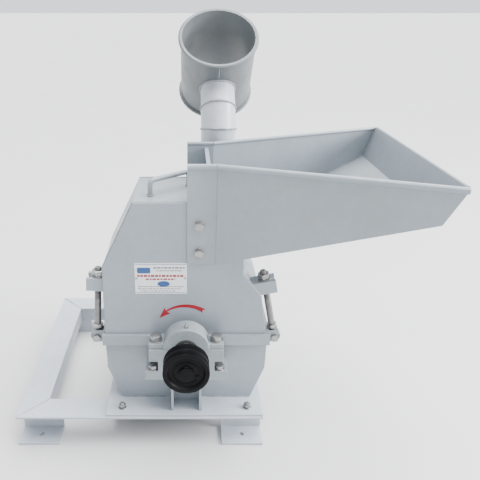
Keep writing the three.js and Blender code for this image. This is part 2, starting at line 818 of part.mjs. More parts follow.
function buildHammers() {
  hammerPlaces.forEach(({ x, z, y }, i) => {
    const half = hammerWidth / 2;
    const shape = outline([
      [-half, -hammerReach],
      [half, -hammerReach],
      [half, hammerHead - hammerCorner],
      [half - hammerCorner, hammerHead],
      [hammerCorner - half, hammerHead],
      [-half, hammerHead - hammerCorner],
    ]);
    const hole = new THREE.Path().absarc(0, 0, pinRadius + runningGap + gap, 0, 2 * Math.PI, true);
    shape.holes.push(hole);
    const hammer = put(`hammer_${i + 1}`, plateXZ(shape, -hammerThickness / 2, hammerThickness / 2), forged);
    hammer.position.set(x, y, z);
  });
}

// ---- Bearings ----
// Drawn with y = 0 at the outer face; place() moves it to the front or mirrors it to the rear.
function place(geometry, isRear) {
  if (!isRear) return geometry.translate(0, bearingFront, 0);
  return geometry.rotateZ(Math.PI).translate(0, rearBearingY, 0);
}

// Room above each end of the foot for a foot bolt and its spanner, under the end of the cap bolt.
function footBoltPockets(footTop) {
  const roof = shaftHeight - capBoltDepth - footPocketRoof;
  return [-1, 1].map((side) => {
    const spanX = [side * footPocketX, side * (capEar + baseDraft + 1)].sort((a, b) => a - b);
    return box(spanX[0], spanX[1], -1, footPocketDepth, footTop, roof);
  });
}

function buildBearing(name, isRear) {
  const seat = shaftHeight - bearingHeight;
  const footTop = seat + bearingFootThickness;
  const foot = box(-bearingFoot, bearingFoot, 0, bearingDepth, seat, footTop);
  const bodyShape = outline([
    [-capEar - baseDraft, footTop - 1],
    [capEar + baseDraft, footTop - 1],
    [capEar, lowerTop],
    [-capEar, lowerTop],
  ]);
  const body = plateXZ(bodyShape, 0, barrelDepth);
  const bore = cylinderY(shaftBore, 0, shaftHeight, -1, bearingDepth + 1, 32);
  const boltBores = [-1, 1].map((side) => cylinderZ(capBoltRadius + runningGap, side * capBoltX,
    barrelDepth / 2, shaftHeight - capBoltDepth - 2, shaftHeight + capEarThickness + 1, 12));
  const baseCuts = [bore, ...boltBores, ...footBoltPockets(footTop)];
  put(`${name}_bearing_base`, place(cut(join(foot, body), ...baseCuts), isRear), bearingPaint);

  const earTop = shaftHeight + capEarThickness;
  const dome = cylinderY(barrelRadius, 0, shaftHeight, 0, barrelDepth, 40);
  const ears = box(-capEar, capEar, earInset, barrelDepth - earInset, shaftHeight - 1, earTop);
  const below = box(-bearingFoot, bearingFoot, -1, barrelDepth + 1, seat, upperFoot);
  put(`${name}_bearing_cap`, place(cut(join(dome, ears), below, bore, ...boltBores), isRear), bearingPaint);

  for (const side of [-1, 1]) {
    const x = side * capBoltX;
    const head = hexPrism(capBoltFlats, capBoltHead).rotateX(Math.PI / 2)
      .translate(x, barrelDepth / 2, earTop + gap + capBoltHead / 2);
    const shank = cylinderZ(capBoltRadius, x, barrelDepth / 2, shaftHeight - capBoltDepth, earTop + 1, 12);
    const label = (side < 0) !== isRear ? 'left' : 'right';
    put(`${name}_cap_bolt_${label}`, place(join(head, shank), isRear), steel);
  }
}

function buildPedestal(name, isRear) {
  const half = pedestalWidth / 2;
  const shelfTop = shaftHeight - bearingHeight - gap;
  const shelfFoot = shelfTop - shelfThickness;
  const low = pedestalInset;
  const high = pedestalInset + pedestalDepth;
  const walls = [
    box(-half, half, high - pedestalWall, high, sill, shelfFoot + 1),
    box(-half, -half + pedestalWall, low, high, sill, shelfFoot + 1),
    box(half - pedestalWall, half, low, high, sill, shelfFoot + 1),
  ];
  const shelf = box(-bearingFoot - 1, bearingFoot + 1, 1, bearingDepth, shelfFoot, shelfTop);
  put(`${name}_pedestal`, place(join(shelf, ...walls), isRear), greyPaint);
}

// ---- Duct and fan ----
// The duct's outline: wide at the chamber's floor, narrow and round at the shaft.
function ductShape(shrink) {
  const neck = ductNeck - shrink;
  const wide = windowHalfWidth + 2 * ductWall - shrink;
  const shape = new THREE.Shape();
  shape.moveTo(-wide, sill + shrink);
  shape.lineTo(wide, sill + shrink);
  shape.lineTo(wide, sill + windowHeight + 2 * ductWall);
  shape.lineTo(neck, ductShoulder);
  shape.lineTo(neck, shaftHeight);
  shape.absarc(0, shaftHeight, neck, 0, Math.PI, false);
  shape.lineTo(-neck, ductShoulder);
  shape.lineTo(-wide, sill + windowHeight + 2 * ductWall);
  return shape;
}

function buildDuct() {
  const outer = plateXZ(ductShape(0), ductFront, ductBack);
  const inner = plateXZ(ductShape(ductWall), ductFront + ductWall, ductBack - ductWall);
  const window = box(-windowHalfWidth, windowHalfWidth, ductFront - 1, ductFront + ductWall + 1,
    sill + ductWall, sill + ductWall + windowHeight);
  const eye = cylinderY(eyeRadius, 0, shaftHeight, ductBack - ductWall - 1, ductBack + 1, 32);
  const shaftWay = cylinderY(plateShaftHole, 0, shaftHeight, ductFront - 1, ductBack, 32);
  put('suction_duct', cut(outer, inner, window, eye, shaftWay), greyPaint);
}

// A spiral that widens from the cut-off, over the top and round to the outlet on the right.
function voluteShape(shrink) {
  const cutoff = fanCutoffRadius - shrink;
  const outletRight = pipeX + pipeRadius - shrink;
  const outletLeft = pipeX - pipeRadius + shrink;
  const top = shaftHeight + fanOutletHeight;
  const start = Math.acos(outletLeft / cutoff);
  const points = [];
  const turns = 24;
  for (let step = 0; step <= turns; step += 1) {
    const share = step / turns;
    const angle = start + (2 * Math.PI - start) * share;
    const radius = cutoff + (outletRight - cutoff) * share;
    points.push([radius * Math.cos(angle), shaftHeight + radius * Math.sin(angle)]);
  }
  points.push([outletRight, top], [outletLeft, top]);
  return outline(points);
}

// The square flange where the pipe stands on the fan's outlet.
function pipeFlange(z0, z1) {
  return box(pipeX - pipeFlangeHalf, pipeX + pipeFlangeHalf,
    pipeY - pipeFlangeHalf, pipeY + pipeFlangeHalf, z0, z1);
}

function buildFanHousing() {
  const outletTop = shaftHeight + fanOutletHeight;
  const outer = plateXZ(voluteShape(0), fanFront, fanBack);
  const flange = pipeFlange(outletTop - pipeFlangeThickness, outletTop);
  const legBack = fanBack - fanLegInset;
  const legTop = shaftHeight - fanCutoffRadius;
  const leg = box(-fanLegHalf, fanLegHalf, legBack - pedestalWall, legBack, sill, legTop);
  const sole = box(-fanSoleHalf, fanSoleHalf, fanBack - fanSoleDepth, fanBack, sill, sill + pedestalWall);
  const inner = plateXZ(voluteShape(fanWall), fanFront + fanWall, fanBack - fanWall);
  const mouth = box(pipeX - pipeRadius + fanWall, pipeX + pipeRadius - fanWall, fanFront + fanWall,
    fanBack - fanWall, outletTop - pipeRadius, outletTop + 1);
  const eye = cylinderY(eyeRadius, 0, shaftHeight, fanFront - 1, fanFront + fanWall + 1, 32);
  const shaftWay = cylinderY(shaftBore, 0, shaftHeight, fanBack - fanWall - 1, fanBack + 1, 32);
  put('fan_housing', cut(join(outer, flange, leg, sole), inner, mouth, eye, shaftWay), greyPaint);
}

function buildImpeller() {
  const back = fanBack - fanWall - bladeClearance;
  const front = fanFront + fanWall + bladeClearance;
  const disc = cylinderY(impellerRadius, 0, shaftHeight, back - bladeThickness, back, 40);
  const hub = cylinderY(shaftRadius + impellerHubWall, 0, shaftHeight, front + impellerHubSetback, back, 32);
  const blades = [];
  for (let i = 0; i < bladeCount; i += 1) {
    const half = bladeThickness / 2;
    const blade = box(shaftRadius + impellerHubWall / 2, impellerRadius - 1, front, back - 1, -half, half);
    blade.rotateY(2 * Math.PI * i / bladeCount);
    blades.push(blade.translate(0, 0, shaftHeight));
  }
  const bore = cylinderY(shaftRadius + gap, 0, shaftHeight, front - 1, back + 1, 32);
  put('fan_impeller', cut(join(hub, disc, ...blades), bore), forged);
}

// ---- Riser pipe and drum ----
const firstSeam = new THREE.Vector3(pipeX, pipeY, firstSeamHeight);
const secondSeam = firstSeam.clone().add(leaning(bendStep).multiplyScalar(seamSpacing));
const drumCentre = secondSeam.clone().add(leaning(2 * bendStep).multiplyScalar(pipeToDrumAxis));

// The upward direction leaned back by an angle.
function leaning(angle) {
  return new THREE.Vector3(0, Math.sin(angle), Math.cos(angle));
}

// A pipe run of mitred pieces: each is cut on the planes that halve its bends.
function mitredRun(radius, start, end) {
  const stops = [start, firstSeam, secondSeam, end];
  const big = 400;
  const pieces = stops.slice(1).map((stop, i) => {
    const from = stops[i];
    const way = stop.clone().sub(from).normalize();
    const grow = way.clone().multiplyScalar(radius);
    const a = from.clone().sub(i > 0 ? grow : new THREE.Vector3());
    const b = stop.clone().add(i < stops.length - 2 ? grow : new THREE.Vector3());
    let piece = solid(bar(a.toArray(), b.toArray(), radius, 24));
    const planes = [];
    if (i > 0) planes.push([from, (i - 0.5) * bendStep, -1]);
    if (i < stops.length - 2) planes.push([stop, (i + 0.5) * bendStep, 1]);
    for (const [point, angle, beyond] of planes) {
      const block = new THREE.BoxGeometry(big, big, big).translate(0, 0, beyond * (big / 2 + seamLap));
      block.rotateX(-angle).translate(point.x, point.y, point.z);
      piece = piece.subtract(solid(block));
    }
    return piece;
  });
  return pieces.reduce((sum, piece) => sum.add(piece));
}

function buildPipe() {
  const foot = shaftHeight + fanOutletHeight + gap;
  const start = new THREE.Vector3(pipeX, pipeY, foot);
  const run = mitredRun(pipeRadius, start, drumCentre);
  const outer = run.add(solid(pipeFlange(foot, foot + pipeFlangeThickness)));
  const below = new THREE.Vector3(pipeX, pipeY, foot - 1);
  const inner = mitredRun(pipeRadius - pipeWall, below, drumCentre);
  const axis = leaning(2 * bendStep - Math.PI / 2).multiplyScalar(drumLength);
  const saddle = bar(drumCentre.clone().sub(axis).toArray(), drumCentre.clone().add(axis).toArray(),
    drumRadius + 2 * gap, 36);
  put('discharge_pipe', geometryOf(outer.subtract(inner).subtract(solid(saddle))), greyPaint);
}

function buildDrum() {
  const inner = drumRadius - drumWall;
  const beadMiddle = drumRadius + drumBead - drumWall / 4;
  const low = drumAbovePipe - drumLength;
  const high = drumAbovePipe;
  const bead = (middle) => [-90, -30, 30, 90].map((degrees) => {
    const angle = THREE.MathUtils.degToRad(degrees);
    return [beadMiddle + drumBead * Math.cos(angle), middle + drumBead * Math.sin(angle)];
  });
  const profile = [
    [inner, low],
    ...bead(low + drumBead),
    [drumRadius, low + 2 * drumBead],
    [drumRadius, high - 2 * drumBead],
    ...bead(high - drumBead),
    [inner, high],
    [inner, low],
  ];
  const shell = lathedY(profile, 36);
  shell.rotateX(Math.PI - 2 * bendStep);
  shell.translate(drumCentre.x, drumCentre.y, drumCentre.z);
  const way = leaning(2 * bendStep).multiplyScalar(pipeToDrumAxis);
  const entry = bar(drumCentre.clone().sub(way).toArray(), drumCentre.toArray(), pipeRadius - pipeWall, 32);
  put('collector_drum', cut(shell, entry), greyPaint);
}

// ---- Swing bolts ----
function buildSwingBolts() {
  for (const clamp of clampSides) {
    const rod = cylinderZ(rodRadius, 0, 0, 0, clamp.reach + rodTail, 12);
    const eye = cylinderY(eyeOuter, 0, 0, -eyeWidth / 2, eyeWidth / 2, 16);
    const hole = cylinderY(pivotPinRadius + runningGap + gap, 0, 0, -eyeWidth, eyeWidth, 12);
    put(`swing_bolt_${clamp.name}`, onClamp(cut(join(rod, eye), hole), clamp), steel);
    const seat = clamp.reach + gap;
    const hex = hexPrism(nutFlats, nutHeight).rotateX(Math.PI / 2).translate(0, 0, seat + nutHeight / 2);
    const thread = cylinderZ(rodRadius + runningGap, 0, 0, seat - 1, seat + nutHeight + 1, 12);
    put(`nut_${clamp.name}`, onClamp(cut(hex, thread), clamp), steel);
  }
}

buildFrame();
buildFeet();
buildBasePlate();
buildLowerPlates();
buildLowerSides();
buildUpperPlates();
buildUpperSides();
buildHandle();
buildHopper();
buildHopperBolts();
buildScreen();
buildShaft();
buildPulley();
buildRotorCage();
buildHammers();
buildBearing('front', false);
buildBearing('rear', true);
buildPedestal('front', false);
buildPedestal('rear', true);
buildDuct();
buildFanHousing();
buildImpeller();
buildPipe();
buildDrum();
buildSwingBolts();

// The origin is the middle of the footprint, on the floor.
mill.updateMatrixWorld(true);
const extent = new THREE.Box3().setFromObject(mill, true);
mill.position.set(-(extent.min.x + extent.max.x) / 2, -(extent.min.y + extent.max.y) / 2, -extent.min.z);

export default mill;
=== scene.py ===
import json
import math

import bmesh
import bpy
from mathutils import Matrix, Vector, noise


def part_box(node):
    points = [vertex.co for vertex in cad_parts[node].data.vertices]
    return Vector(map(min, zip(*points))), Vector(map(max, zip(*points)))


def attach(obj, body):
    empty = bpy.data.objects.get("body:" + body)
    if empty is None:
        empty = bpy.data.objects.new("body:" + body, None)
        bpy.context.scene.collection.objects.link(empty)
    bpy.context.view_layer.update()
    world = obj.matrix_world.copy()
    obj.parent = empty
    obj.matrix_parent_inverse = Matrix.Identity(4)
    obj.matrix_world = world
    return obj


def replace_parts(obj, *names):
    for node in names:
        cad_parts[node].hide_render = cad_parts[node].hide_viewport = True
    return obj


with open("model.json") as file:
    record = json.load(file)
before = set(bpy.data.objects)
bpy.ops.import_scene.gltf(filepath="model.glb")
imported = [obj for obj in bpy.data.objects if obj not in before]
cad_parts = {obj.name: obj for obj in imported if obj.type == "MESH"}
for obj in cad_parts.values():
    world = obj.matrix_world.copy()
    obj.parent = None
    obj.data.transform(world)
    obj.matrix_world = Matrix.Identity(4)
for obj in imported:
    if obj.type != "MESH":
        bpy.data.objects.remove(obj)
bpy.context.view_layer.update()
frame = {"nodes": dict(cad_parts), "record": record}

MM = 0.001

# ---- Places read from the frame ----
shaft_low, shaft_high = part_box("shaft")
AXIS_X = (shaft_low.x + shaft_high.x) / 2
AXIS_Z = (shaft_low.z + shaft_high.z) / 2
FRAME_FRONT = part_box("rail_front")[0].y
SLOT_OF = {s["node"]: s["material_slot"] for s in frame["record"]["subparts"]}


# ---- Materials ----
class Nodes:
    """A short hand for one material's node tree."""

    def __init__(self, name):
        self.material = bpy.data.materials.new(name)
        self.material.use_nodes = True
        self.tree = self.material.node_tree
        self.shader = self.tree.nodes["Principled BSDF"]
        self.place = self.add("ShaderNodeTexCoord").outputs["Object"]

    def add(self, kind, **values):
        node = self.tree.nodes.new(kind)
        for key, value in values.items():
            setattr(node, key, value)
        return node

    def link(self, a, b):
        self.tree.links.new(a, b)

    def noise(self, scale, detail=4.0, rough=0.55, stretch=(1, 1, 1)):
        mapping = self.add("ShaderNodeMapping")
        mapping.inputs["Scale"].default_value = stretch
        self.link(self.place, mapping.inputs["Vector"])
        node = self.add("ShaderNodeTexNoise")
        node.inputs["Scale"].default_value = scale
        node.inputs["Detail"].default_value = detail
        node.inputs["Roughness"].default_value = rough
        self.link(mapping.outputs["Vector"], node.inputs["Vector"])
        return node.outputs["Fac"]

    def ramp(self, value, stops):
        node = self.add("ShaderNodeValToRGB")
        ramp = node.color_ramp
        while len(ramp.elements) < len(stops):
            ramp.elements.new(0.5)
        for element, (place, colour) in zip(ramp.elements, stops):
            element.position = place
            element.color = (*colour, 1) if len(colour) == 3 else colour
        self.link(value, node.inputs["Fac"])
        return node.outputs["Color"]

    def grey(self, value, low, high, start=0.3, end=0.7):
        return self.ramp(value, [(start, (low,) * 3), (end, (high,) * 3)])

    def mix(self, factor, a, b, blend="MIX"):
        node = self.add("ShaderNodeMix", data_type="RGBA", blend_type=blend)
        for socket, value in ((node.inputs[0], factor), (node.inputs[6], a), (node.inputs[7], b)):
            if isinstance(value, bpy.types.NodeSocket):
                self.link(value, socket)
            elif isinstance(value, tuple):
                socket.default_value = (*value, 1)
            else:
                socket.default_value = value
        return node.outputs[2]

    def height(self, *layers):
        """Bumps stacked on each other: (value, strength, distance)."""
        normal = None
        for value, strength, distance in layers:
            bump = self.add("ShaderNodeBump")
            bump.inputs["Strength"].default_value = strength
            bump.inputs["Distance"].default_value = distance
            self.link(value, bump.inputs["Height"])
            if normal is not None:
                self.link(normal, bump.inputs["Normal"])
            normal = bump.outputs["Normal"]
        self.link(normal, self.shader.inputs["Normal"])


def scaled(colour, factor):
    return tuple(min(1.0, c * factor) for c in colour)


def paint(name, colour, rough=0.42, coarse=1.0, grime=0.35):
    """Sprayed enamel: soft clouds of shade, orange peel, patches of dust and darker vertical runs."""
    n = Nodes(name)
    cloud = n.noise(5.0, 3.0)
    fine = n.noise(60.0, 5.0)
    shade = n.ramp(cloud, [(0.3, scaled(colour, 0.95)), (0.7, scaled(colour, 1.05))])
    speck = n.grey(fine, 0.965, 1.03)
    base = n.mix(1.0, shade, speck, "MULTIPLY")
    dust_shape = n.grey(n.noise(16.0, 6.0, 0.65), 0.0, grime, 0.5, 0.82)
    base = n.mix(dust_shape, base, scaled((colour[0] * 0.86, colour[1] * 0.80, colour[2] * 0.70), 0.92))
    runs = n.grey(n.noise(28.0, 4.0, 0.6, (3.0, 3.0, 0.25)), 0.0, 0.16, 0.55, 0.85)
    base = n.mix(runs, base, scaled(colour, 0.82))
    n.link(base, n.shader.inputs["Base Color"])
    n.link(n.grey(n.noise(22.0, 4.0), rough - 0.10, rough + 0.14), n.shader.inputs["Roughness"])
    n.height(
        (n.noise(9.0, 2.0), 0.10 * coarse, 0.002),
        (n.noise(420.0, 2.0), 0.10 * coarse, 0.0004),
        (fine, 0.10 * coarse, 0.0006),
    )
    n.shader.inputs["Coat Weight"].default_value = 0.12
    n.shader.inputs["Coat Roughness"].default_value = 0.25
    return n.material


def cast_paint(name, colour):
    """Enamel over a sand-cast surface."""
    n = Nodes(name)
    grain = n.noise(190.0, 6.0, 0.7)
    lumps = n.noise(45.0, 5.0, 0.6)
    base = n.ramp(lumps, [(0.3, scaled(colour, 0.88)), (0.7, scaled(colour, 1.08))])
    pits = n.grey(grain, 0.0, 0.42, 0.56, 0.74)
    base = n.mix(pits, base, scaled(colour, 0.55))
    n.link(base, n.shader.inputs["Base Color"])
    n.link(n.grey(grain, 0.38, 0.62), n.shader.inputs["Roughness"])
    n.height((lumps, 0.35, 0.0016), (grain, 0.45, 0.0007))
    return n.material


def steel(name, colour, rough=0.3, rust=0.0, streak=(1, 1, 14)):
    """Bare or plated steel with drawn streaks and, where asked, a brown bloom."""
    n = Nodes(name)
    lines = n.noise(240.0, 3.0, 0.6, streak)
    clouds = n.noise(36.0, 5.0, 0.65)
    base = n.ramp(lines, [(0.3, scaled(colour, 0.82)), (0.7, scaled(colour, 1.12))])
    stain = n.grey(clouds, 0.0, 0.25 + rust, 0.48, 0.76)
    base = n.mix(stain, base, (colour[0] * 0.52 + 0.05 * rust, colour[1] * 0.46, colour[2] * 0.40))
    n.link(base, n.shader.inputs["Base Color"])
    n.link(n.grey(clouds, rough - 0.06, rough + 0.22), n.shader.inputs["Roughness"])
    n.shader.inputs["Metallic"].default_value = 0.9 if rust < 0.3 else 0.55
    n.height((lines, 0.10, 0.0003), (clouds, 0.18, 0.0006))
    return n.material


def black_enamel(name):
    """Black enamel with dusty specks and paler rubbed bands."""
    n = Nodes(name)
    clouds = n.noise(30.0, 5.0, 0.65)
    dust = n.noise(170.0, 5.0, 0.7)
    base = n.ramp(clouds, [(0.3, (0.0015, 0.0015, 0.002)), (0.75, (0.006, 0.006, 0.007))])
    base = n.mix(n.grey(dust, 0.0, 0.30, 0.62, 0.82), base, (0.020, 0.021, 0.023))
    n.link(base, n.shader.inputs["Base Color"])
    n.link(n.grey(clouds, 0.34, 0.52), n.shader.inputs["Roughness"])
    n.shader.inputs["Specular IOR Level"].default_value = 0.07
    n.height((dust, 0.18, 0.0005), (clouds, 0.15, 0.001))
    return n.material


def weld_metal(name, colour):
    """Painted weld: glossy ripples with darker undercut."""
    n = Nodes(name)
    ripple = n.noise(320.0, 4.0, 0.6)
    base = n.ramp(ripple, [(0.3, scaled(colour, 0.66)), (0.65, scaled(colour, 1.0))])
    n.link(base, n.shader.inputs["Base Color"])
    n.link(n.grey(ripple, 0.32, 0.55), n.shader.inputs["Roughness"])
    n.height((ripple, 0.6, 0.0008))
    return n.material


def print_ink(name, colour, fade=0.25):
    """Printed vinyl with faint wear."""
    n = Nodes(name)
    wear = n.noise(130.0, 6.0, 0.7)
    base = n.ramp(wear, [(0.25, scaled(colour, 1.0 - fade)), (0.6, colour)])
    n.link(base, n.shader.inputs["Base Color"])
    n.link(n.grey(wear, 0.28, 0.46), n.shader.inputs["Roughness"])
    n.height((wear, 0.08, 0.0003))
    return n.material


def rubber(name):
    """Dull black rubber with a fine grain."""
    n = Nodes(name)
    grain = n.noise(210.0, 5.0, 0.6)
    base = n.ramp(grain, [(0.3, (0.012, 0.012, 0.012)), (0.7, (0.030, 0.029, 0.028))])
    n.link(base, n.shader.inputs["Base Color"])
    n.link(n.grey(grain, 0.55, 0.75), n.shader.inputs["Roughness"])
    n.height((grain, 0.2, 0.0004))
    return n.material


HOUSING = (0.222, 0.252, 0.280)
FRAME = (0.35, 0.385, 0.430)
PIPE = (0.385, 0.412, 0.445)
BEARING = (0.205, 0.232, 0.252)

MATERIALS = {
    "housing_paint": paint("housing_enamel", HOUSING),
    "frame_paint": paint("frame_enamel", FRAME, 0.46, 1.3, 0.45),
    "pipe_paint": paint("pipe_enamel", PIPE, 0.40, 1.1, 0.40),
    "bearing_paint": cast_paint("cast_enamel", BEARING),
    "pulley_black": black_enamel("pulley_enamel"),
    "shaft_steel": steel("turned_steel", (0.46, 0.46, 0.47), 0.24, 0.0, (1, 10, 1)),
    "bolt_steel": steel("plated_steel", (0.30, 0.30, 0.30), 0.26, 0.12, (1, 1, 1)),
    "rod_steel": steel("drawn_steel", (0.19, 0.187, 0.184), 0.34, 0.18),
    "rotor_steel": steel("forged_steel", (0.16, 0.145, 0.13), 0.48, 0.35, (1, 1, 1)),
    "screen_steel": steel("rolled_steel", (0.36, 0.36, 0.36), 0.34, 0.10, (1, 1, 1)),
    "label_white": print_ink("label_white", (0.62, 0.63, 0.65), 0.08),
    "arrow_red": print_ink("arrow_red", (0.25, 0.001, 0.010)),
}
# The collector drum has the same paint as the pipe; this much darker copy is painted shade for its
# down-facing, shadowed surfaces.
DRUM_PAINTED_SHADE = paint("drum_painted_shade_enamel", (0.105, 0.118, 0.126), 0.46, 1.2, 0.5)
WELD = weld_metal("weld_enamel", HOUSING)
FRAME_WELD = weld_metal("frame_weld_enamel", FRAME)
PIPE_WELD = weld_metal("pipe_weld_enamel", scaled(PIPE, 0.66))
INK_BLUE = print_ink("label_blue", (0.010, 0.060, 0.20))
INK_GREY = print_ink("label_grey", (0.035, 0.04, 0.055))
RUBBER = rubber("seal_rubber")


# ---- Mesh helpers ----
def finish_piece(name, mesh, body, slot, material=None, smooth=True, bevel=0.0, segments=2):
    piece = bpy.data.objects.new(name, mesh)
    bpy.context.scene.collection.objects.link(piece)
    mesh.materials.clear()
    mesh.materials.append(material or MATERIALS[slot])
    mesh.shade_smooth() if smooth else mesh.shade_flat()
    if bevel:
        add_bevel(piece, bevel, segments)
    elif smooth:
        sharpen(mesh)
    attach(piece, body)
    return piece


def sharpen(mesh, degrees=38):
    """Marks the edges that turn sharply, so that smooth shading stops at them."""
    work = bmesh.new()
    work.from_mesh(mesh)
    limit = math.radians(degrees)
    for edge in work.edges:
        edge.smooth = edge.is_manifold and edge.calc_face_angle(0.0) < limit
    work.to_mesh(mesh)
    work.free()


def add_bevel(piece, width, segments=2, degrees=32):
    bevel = piece.modifiers.new("edge", "BEVEL")
    bevel.width = width
    bevel.segments = segments
    bevel.limit_method = "ANGLE"
    bevel.angle_limit = math.radians(degrees)
    bevel.harden_normals = True
    bevel.use_clamp_overlap = True
    return bevel


def mesh_of(name, verts, faces, merge=1e-7):
    mesh = bpy.data.meshes.new(name)
    work = bmesh.new()
    made = [work.verts.new(v) for v in verts]
    for face in faces:
        corners = [made[i] for i in face]
        if len(set(corners)) > 2:
            work.faces.new(corners)
    bmesh.ops.remove_doubles(work, verts=work.verts, dist=merge)
    bmesh.ops.recalc_face_normals(work, faces=work.faces)
    work.to_mesh(mesh)
    work.free()
    return mesh


def lathe_mesh(name, profile, origin, axis, segments=96, closed=False):
    """Revolves (radius, distance along the axis) points round the axis."""
    along = Vector(axis).normalized()
    side = along.orthogonal().normalized()
    up = along.cross(side)
    count = len(profile)
    verts = []
    for i in range(segments):
        angle = 2 * math.pi * i / segments
        way = side * math.cos(angle) + up * math.sin(angle)
        verts += [Vector(origin) + along * t + way * r for r, t in profile]
    faces = []
    for i in range(segments):
        j = (i + 1) % segments
        for k in range(count if closed else count - 1):
            m = (k + 1) % count
            faces.append((i * count + k, i * count + m, j * count + m, j * count + k))
    return mesh_of(name, verts, faces)


def tube_mesh(name, points, radius, sides=24, closed=False):
    """A round bar along points; radius is a number or one number for each point."""
    points = [Vector(p) for p in points]
    count = len(points)
    radii = radius if isinstance(radius, (list, tuple)) else [radius] * count
    verts = []
    normal = None
    for i, here in enumerate(points):
        before = points[i - 1] if i > 0 or closed else here
        after = points[(i + 1) % count] if i < count - 1 or closed else here
        along = (after - before).normalized()
        normal = along.orthogonal() if normal is None else normal - along * normal.dot(along)
        normal.normalize()
        side = along.cross(normal)
        for k in range(sides):
            angle = 2 * math.pi * k / sides
            verts.append(here + (normal * math.cos(angle) + side * math.sin(angle)) * radii[i])
    faces = []
    for i in range(count if closed else count - 1):
        j = (i + 1) % count
        for k in range(sides):
            m = (k + 1) % sides
            faces.append((i * sides + k, i * sides + m, j * sides + m, j * sides + k))
    if not closed:
        faces += [tuple(range(sides)), tuple(range((count - 1) * sides, count * sides))]
    return mesh_of(name, verts, faces)


def prism_mesh(name, outline, origin, u, v, depth):
    """An outline of (a, b) points in the plane of u and v, pushed along their cross product by depth."""
    u, v = Vector(u), Vector(v)
    out = u.cross(v).normalized()
    origin = Vector(origin)
    low = [origin + u * a + v * b for a, b in outline]
    high = [p + out * depth for p in low]
    count = len(outline)
    faces = [tuple(range(count)), tuple(range(count, 2 * count))]
    for i in range(count):
        j = (i + 1) % count
        faces.append((i, j, count + j, count + i))
    return mesh_of(name, low + high, faces)


def joined(name, *meshes):
    work = bmesh.new()
    for mesh in meshes:
        work.from_mesh(mesh)
        bpy.data.meshes.remove(mesh)
    result = bpy.data.meshes.new(name)
    work.to_mesh(result)
    work.free()
    return result


def box_mesh(name, low, high):
    low, high = Vector(low), Vector(high)
    size = high - low
    corners = [(0, 0), (size.x, 0), (size.x, size.y), (0, size.y)]
    return prism_mesh(name, corners, low, (1, 0, 0), (0, 1, 0), size.z)


def arc(cx, cy, radius, start, end, steps):
    angles = [math.radians(start + (end - start) * i / steps) for i in range(steps + 1)]
    return [(cx + radius * math.cos(a), cy + radius * math.sin(a)) for a in angles]


# ---- Fasteners ----
def hex_mesh(name, origin, axis, flats, height, hole=0.0):
    """A hexagon head or nut, chamfered as turned from bar."""
    along = Vector(axis).normalized()
    side = along.orthogonal().normalized()
    up = along.cross(side)
    half = flats / 2
    segments = 60
    slope = math.tan(math.radians(28))
    rings = [[], [], [], [], [], []]
    for i in range(segments):
        angle = 2 * math.pi * i / segments
        fold = (angle + math.pi / 6) % (math.pi / 3) - math.pi / 6
        corner = half / math.cos(fold)
        way = side * math.cos(angle) + up * math.sin(angle)
        drop = (corner - half * 0.96) * slope
        places = [
            (max(hole, 1e-5), 0.0),
            (half * 0.96, 0.0),
            (corner, drop),
            (corner, height - drop),
            (half * 0.96, height),
            (max(hole, 1e-5), height),
        ]
        for ring, (r, t) in zip(rings, places):
            ring.append(Vector(origin) + along * t + way * r)
    verts = [v for ring in rings for v in ring]
    faces = []
    pairs = list(zip(range(5), range(1, 6)))
    if hole:
        pairs.append((5, 0))
    for a, b in pairs:
        for i in range(segments):
            j = (i + 1) % segments
            faces.append((a * segments + i, a * segments + j, b * segments + j, b * segments + i))
    return mesh_of(name, verts, faces, 2e-5 if not hole else 1e-7)


def washer_mesh(name, origin, axis, inner, outer, height):
    edge = min(0.0004, height / 4)
    low = [(inner, 0), (outer - edge, 0), (outer, edge)]
    profile = low + [(r, height - t) for r, t in reversed(low)]
    return lathe_mesh(name, profile, origin, axis, 48, True)


def thread_mesh(name, origin, axis, radius, start, end, pitch=0.00175):
    """A threaded end: fine rings along a rod, with a chamfered tip."""
    profile = [(0, start)]
    t = start
    while t + pitch <= end - 0.0015:
        profile += [(radius, t), (radius, t + pitch * 0.2), (radius * 0.90, t + pitch * 0.6)]
        t += pitch
    profile += [(radius * 0.94, end - 0.0015), (radius * 0.78, end), (0, end)]
    return lathe_mesh(name, profile, origin, axis, 32)


def bolt(name, seat, axis, flats, body, slot="bolt_steel", head=None, washer=True, stub=0.0):
    """A hexagon head on a flat and a spring washer; a stub of thread can stand out above it."""
    axis = Vector(axis).normalized()
    head = head or flats * 0.42
    meshes = []
    lift = 0.0
    seat = Vector(seat)
    if washer:
        meshes.append(washer_mesh("w", seat, axis, flats * 0.28, flats * 0.62, 0.0016))
        meshes.append(washer_mesh("s", seat + axis * 0.0016, axis, flats * 0.28, flats * 0.48, 0.0018))
        lift = 0.0034
    meshes.append(hex_mesh("h", seat + axis * lift, axis, flats, head, flats * 0.30 if stub else 0.0))
    if stub:
        meshes.append(thread_mesh("t", seat, axis, flats * 0.295, 0.0, lift + head + stub))
    return finish_piece(name, joined(name, *meshes), body, slot)


